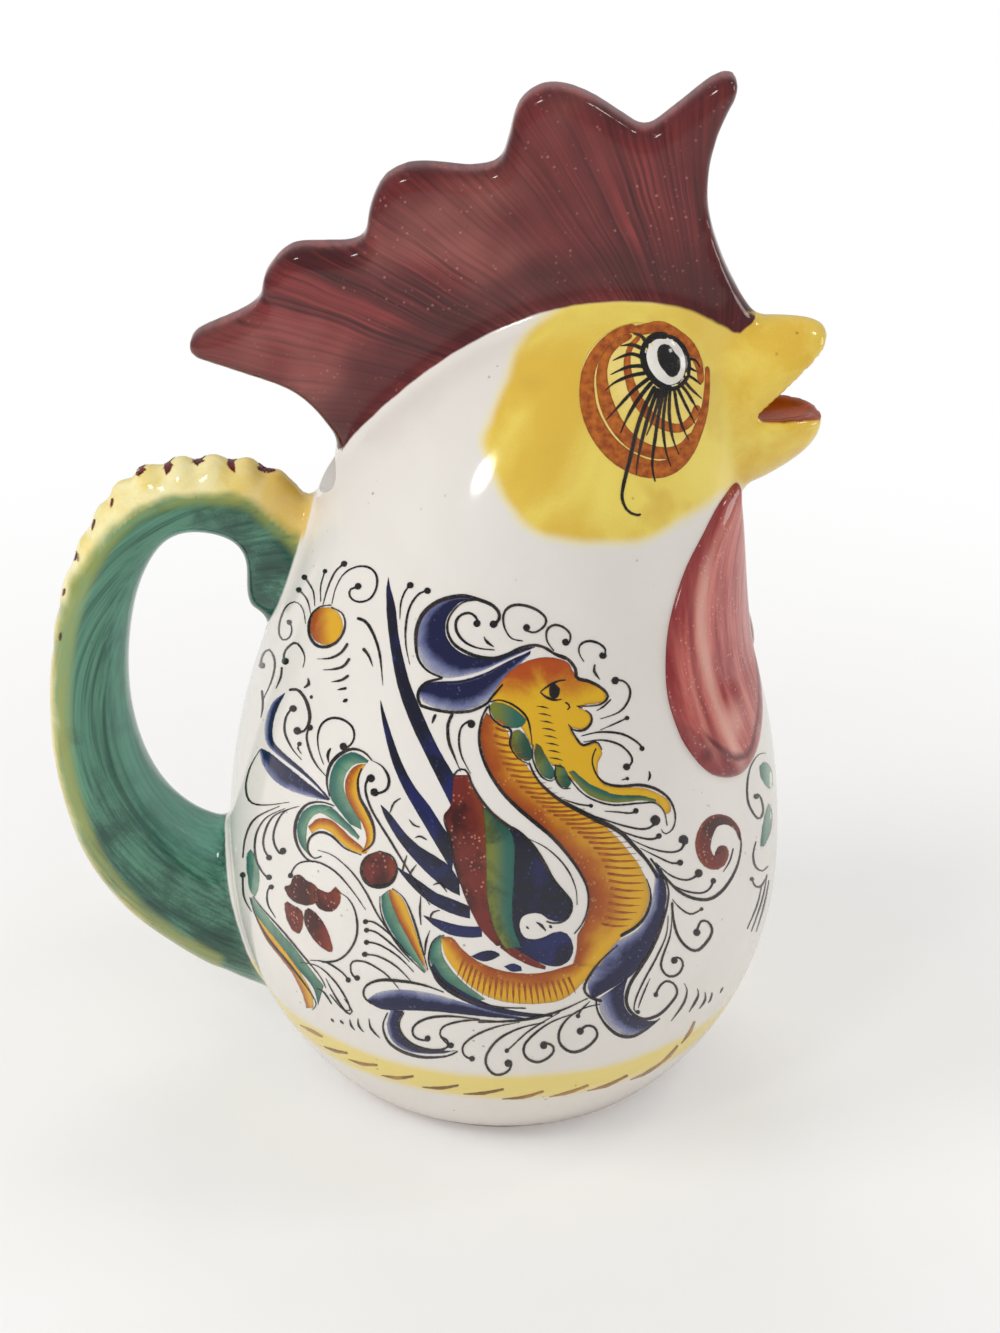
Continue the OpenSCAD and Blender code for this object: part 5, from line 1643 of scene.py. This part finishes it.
def surface_fields(skin, trees):
    """Marks on every point of the skin how far it is inside each painted region, in millimetres."""
    def near(name, co):
        return min(tree.find_nearest(co)[3] for tree in trees[name])
    fields = {name: [] for name in ("face", "beak", "tongue", "comb", "rim", "teal", "cream")}
    patch = [(p.x, p.y) for p in smooth_loop(FACE_PATCH, 6)]
    comb_rim = comb_line(COMB_SHARES + TAIL_SHARES[::-1], 3)
    for v in skin.data.vertices:
        co = v.co / MM
        body, comb, beak = near("body", co), near("comb", co), near("beak", co)
        strap, crest = near("strap", co), near("crest", co)
        handle = min(strap, crest)
        leaf = MOUTH_H / 2 * sqrt(1 - min(abs(co.y) / (MOUTH_W / 2), 1) ** (2 / MOUTH_POWER))
        raw = MOUTH_OUT_X - 0.1 < co.x < MOUTH_IN_X + 0.1 and abs(abs(co.z - MOUTH_Z) - leaf) < 0.15
        back = co.x < -30 and handle < comb
        fields["comb"].append(min(body, beak, 20) - comb if co.z > 150 else -20)
        fields["beak"].append(min(body, 30) - beak)
        brim = min(strap - 0.6 * eased(150 - co.z, 0, 30), body + 1.5)
        fields["cream"].append(brim - crest if back and not raw else -1)
        fields["teal"].append(body - handle if back else -20)
        px, py = pixel_of(Vector((co.x, -abs(co.y), co.z)))
        fields["face"].append(signed_to_loop(px, py, patch) / 4 if co.z > 140 else -20)
        t = asin(clamp((co.x - FACE_X + BEAK_ROOT) / (BEAK_ROOT + BEAK_REACH))) * 2 / pi
        inside = BEAK_W / 2 * mix(1, BEAK_NIB_SHARE, t * t) - 1.3 - abs(co.y)
        inner = beak < 1.5 and v.normal.z > 0.15 and co.z < 180.5
        fields["tongue"].append(min(inside, co.x - 53) if inner else -5)
        fields["rim"].append(min((co - p).length for p in comb_rim) if comb < 3 and co.z > 160 else 20)
    for name, values in fields.items():
        mark(skin, name, values)


# ---------------- glazes of the painted pieces

def paint_glaze(name, colour_of, soft):
    """Brushed pigment under the glaze: its own colour, feathered at its edge."""
    material, s = new_material(name)
    surface = s.group(tool(glaze_surface), Normal=surface_normal(s, "out"))
    marks = {
        "along": s.attribute("along"), "across": s.attribute("across"), "edge": s.attribute("edge"),
        "sheet": s.put("Attribute", {"attribute_name": "sheet"}).outputs["Vector"],
        "thick": s.group(tool(pooled_pigment), Scale=90, Grain=0.5)["Thickness"],
        "grain": s.noise(s.place(), 1400, 3, 0.6)}
    colour, density = colour_of(s, marks)
    waver = s.times(s.less(s.noise(s.place(), 700, 2), 0.5), soft)
    feather = s.ramp(s.plus(marks["edge"], waver), 0, soft)
    alpha = s.math("MULTIPLY", feather, 1.0 if density is None else density, clamped=True)
    glazed(s, colour, surface["Normal"], alpha=alpha)
    return material


def speckle(s, colour, light, amount):
    """Small pale specks where the pigment has crawled."""
    cells = s.put("TexVoronoi", Vector=s.place(), Scale=900)
    chance = s.noise(s.place(), 260, 2)
    spot = s.times(s.ramp(cells.outputs["Distance"], 0.12, 0.34, 1, 0), s.ramp(chance, 0.46, 0.62))
    return s.blend(s.times(spot, amount), colour, light)


def uneven(s, m, value, amount):
    """The value, moved to and fro by how thick the pigment lies."""
    return s.plus(value, s.times(s.less(m["thick"], 0.5), amount))


def black_paint(s, m):
    dry = s.times(s.ramp(m["thick"], 0.3, 1), s.ramp(m["edge"], 0.8, 2.6, 1, 0.1))
    return s.blend(dry, linear(12, 9, 12), linear(64, 50, 46)), s.ramp(m["grain"], 0.3, 0.55, 0.84, 1)


def cobalt_paint(s, m):
    deep = s.blend(s.ramp(m["thick"], 0.2, 1), linear(5, 7, 34), linear(20, 28, 88))
    deep = s.blend(s.ramp(m["edge"], 0, 2.5, 0.5, 0), deep, linear(4, 5, 24))
    return speckle(s, deep, linear(90, 100, 170), 0.3), None


def wash_paint(s, m):
    share = uneven(s, m, m["across"], 0.25)
    colour = s.blend(s.ramp(share, 0.05, 0.5), linear(128, 136, 186), linear(10, 14, 62))
    return speckle(s, colour, linear(130, 140, 195), 0.3), s.ramp(share, -0.1, 0.4, 0.35, 1)


def maroon_paint(s, m):
    colour = s.blend(s.ramp(m["thick"], 0.2, 0.9), linear(62, 9, 7), linear(112, 32, 22))
    colour = s.blend(s.ramp(m["across"], 0.62, 1, 0, 0.6), colour, linear(150, 66, 16))
    return speckle(s, colour, linear(214, 150, 126), 0.7), None


def dark_red_paint(s, m):
    return s.blend(m["thick"], linear(88, 10, 20), linear(124, 26, 34)), None


def orange_paint(s, m):
    share = uneven(s, m, m["across"], 0.22)
    colour = s.blend(s.ramp(share, 0.15, 0.8), linear(170, 82, 10), linear(222, 168, 30))
    colour = s.blend(s.ramp(share, -0.1, 0.3, 0.55, 0), colour, linear(124, 38, 6))
    return speckle(s, colour, linear(236, 186, 110), 0.3), None


def crown_paint(s, m):
    axis = s.put("SeparateXYZ", Vector=m["sheet"])
    down = uneven(s, m, axis.outputs["Y"], 0.16)
    colour = s.blend(s.ramp(down, 6.68, 7), linear(178, 74, 10), linear(224, 176, 26))
    return s.blend(s.ramp(m["edge"], 0, 3, 0.45, 0), colour, linear(168, 74, 14)), None


def green_paint(s, m):
    colour = s.blend(s.ramp(m["across"], 0.1, 0.8), linear(118, 124, 44), linear(38, 100, 88))
    return s.blend(s.ramp(m["thick"], 0.3, 1, 0, 0.7), colour, linear(24, 56, 40)), None


def teal_paint(s, m):
    colour = s.blend(s.ramp(m["across"], 0.1, 0.9), linear(44, 108, 98), linear(118, 160, 130))
    return s.blend(s.ramp(m["thick"], 0.3, 1, 0, 0.5), colour, linear(28, 76, 70)), None


def ochre_paint(s, m):
    return s.blend(s.ramp(m["thick"], 0.2, 0.9), linear(128, 78, 18), linear(176, 122, 40)), None


def sienna_paint(s, m):
    streak = s.ramp(s.noise(s.stretched(m["sheet"], (4, 4, 4)), 3, 3, 0.5), 0.3, 0.7)
    colour = s.blend(streak, linear(148, 66, 10), linear(196, 108, 28))
    return s.blend(s.ramp(m["edge"], 0, 2.2, 0.5, 0), colour, linear(150, 62, 10)), None


def cream_paint(s, m):
    return s.blend(m["thick"], linear(248, 226, 136), linear(238, 208, 96)), None


def white_paint(s, m):
    return s.blend(m["thick"], linear(240, 238, 232), linear(226, 222, 214)), None


def plain_white():
    material, s = new_material("eye_glaze")
    surface = s.group(tool(glaze_surface), Normal=surface_normal(s))
    thick = s.group(tool(pooled_pigment), Scale=60, Grain=0.2)["Thickness"]
    glazed(s, s.blend(thick, linear(240, 238, 232), linear(228, 224, 216)), surface["Normal"])
    return material


def wattle_glaze():
    """Rosy red drawn down in long bent strokes, darker at the outline, with painted shade along the fold near
    its end and below it.
    """
    material, s = new_material("wattle_glaze")
    surface = s.group(tool(glaze_surface), Normal=surface_normal(s))
    along, across, edge = s.attribute("along"), s.attribute("across"), s.attribute("edge")

    def about(value, middle, reach):
        return s.ramp(s.math("ABSOLUTE", s.less(value, middle)), 0, reach, 1, 0)
    off = s.less(along, 0.6)
    square = s.times(off, off)
    bent = s.less(across, s.times(square, s.math("MULTIPLY_ADD", square, 2.2, 0.6)))
    flow = s.put("CombineXYZ", X=along, Y=s.times(bent, 0.045), Z=0)
    streak = s.noise(s.stretched(flow.outputs[0], (2.4, 300, 1)), 1, 4, 0.6)
    broad = s.noise(s.stretched(flow.outputs[0], (1.4, 80, 1)), 1, 3, 0.5)
    colour = s.blend(s.ramp(streak, 0.32, 0.68), linear(152, 46, 48), linear(206, 114, 104))
    colour = s.blend(s.ramp(broad, 0.48, 0.72, 0, 0.6), colour, linear(222, 154, 140))
    drift = s.math("MULTIPLY_ADD", broad, 0.1, -0.05)
    strip = s.times(about(s.plus(bent, drift), 0.35, 0.07), s.ramp(along, 0.06, 0.3, 0, 0.75))
    colour = s.blend(strip, colour, linear(230, 174, 160))
    # A deeper red streak beside the pale strip.
    dark_streak = s.times(about(s.plus(bent, drift), 0.262, 0.035), s.ramp(along, 0.12, 0.4, 0, 0.55))
    colour = s.blend(dark_streak, colour, linear(122, 34, 42))
    lobe = s.times(about(along, 0.79, 0.1), about(across, 0.46, 0.19))
    colour = s.blend(s.times(lobe, 0.65), colour, linear(230, 174, 160))
    # Painted shade: the fold near the leaf's lower end and the band below it are darkened where the leaf
    # turns under; a blot of deeper red sits at the fold's left end.
    side = s.less(across, 0.53)
    fold = s.math("MULTIPLY_ADD", s.times(side, side), -1.3, 0.918)
    low = s.plus(along, drift)
    crease_shade = s.times(about(low, fold, 0.034), s.ramp(across, 0.18, 0.26))
    under = s.ramp(s.less(low, fold), -0.01, 0.03, 0, 0.4)
    blot = s.times(about(along, 0.852, 0.07), about(across, 0.205, 0.1))
    fold_shade_and_blot = s.math("MAXIMUM", under, s.times(s.math("MAXIMUM", crease_shade, blot), 0.9))
    colour = s.blend(fold_shade_and_blot, colour, linear(96, 20, 34))
    colour = s.blend(s.ramp(edge, 0, 3.4, 0.65, 0), colour, linear(132, 36, 42))
    colour = speckle(s, colour, linear(238, 190, 180), 0.4)
    glazed(s, colour, surface["Normal"])
    return material


# ---------------- build

make_camera()
make_studio()
skin, trees = make_skin()
surface_fields(skin, trees)
skin.data.materials.clear()
skin.data.materials.append(skin_glaze())
skin.data.set_sharp_from_angle(angle=radians(60))
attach(skin, "root")
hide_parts("belly", "head", "comb", "upper_beak", "lower_beak", "handle", "handle_crest")
make_foot()

clay = Surface([skin])
eyes = [make_eye("right_eyeball", "right_eye", -1, clay), make_eye("left_eyeball", "left_eye", 1, clay)]
wattles = [
    make_wattle("right_wattle_leaf", "right_wattle", -1, clay),
    make_wattle("left_wattle_leaf", "left_wattle", 1, clay)]
finished = Surface([skin] + eyes + wattles)

# Each paint's lift over the clay, colours, soft edge, slot, and how much fuller its strokes are.
PAINTS = {
    "cobalt": (0.05, cobalt_paint, 0.8, "white_glaze", 1),
    "wash": (0.045, wash_paint, 1.2, "white_glaze", 1),
    "maroon": (0.06, maroon_paint, 1, "maroon_glaze", 1),
    "dark_red": (0.17, dark_red_paint, 1.4, "maroon_glaze", 1),
    "orange": (0.05, orange_paint, 1.2, "yellow_glaze", 1),
    "crown": (0.055, crown_paint, 1, "yellow_glaze", 1),
    "green": (0.065, green_paint, 1.4, "teal_glaze", 1),
    "teal": (0.045, teal_paint, 1.4, "teal_glaze", 1),
    "ochre": (0.05, ochre_paint, 0.8, "yellow_glaze", 1.5),
    "ribs": (0.08, sienna_paint, 0.8, "yellow_glaze", 1.3),
    "cream": (0.04, cream_paint, 1.6, "cream_glaze", 1),
    "sienna": (0.07, sienna_paint, 0.9, "yellow_glaze", 1.42),
    "eye_white": (0.09, white_paint, 0.8, "white_glaze", 1),
    "black": (0.12, black_paint, 0.5, "white_glaze", 1.55)}
brush = {name: Brush("painted_" + name, paint[-1]) for name, paint in PAINTS.items()}

paint_plumes(brush["cobalt"], brush["black"])
paint_wing(brush["maroon"], brush["green"], brush["cobalt"], brush["black"])
paint_neck(brush["orange"], brush["teal"], brush["wash"], brush["ribs"], brush["black"])
paint_head(brush["crown"], brush["green"], brush["black"])
paint_acanthus(brush["wash"], brush["black"])
paint_throat_curls(brush["black"], brush["maroon"])
paint_low_leaves(brush["wash"], brush["black"])
paint_ball_spray(brush["orange"], brush["black"])
paint_left_leaves(brush["wash"], brush["teal"], brush["orange"], brush["maroon"], brush["black"])
paint_breast(brush["teal"], brush["black"])
paint_base_dashes(brush["ochre"])
paint_crest(brush["dark_red"])
paint_face(brush["cream"], brush["sienna"], brush["eye_white"], brush["black"])
for name, (lift, colour_of, soft, slot, fuller) in PAINTS.items():
    brush[name].lay(finished, clay, lift, paint_glaze("paint_" + name, colour_of, soft), slot)
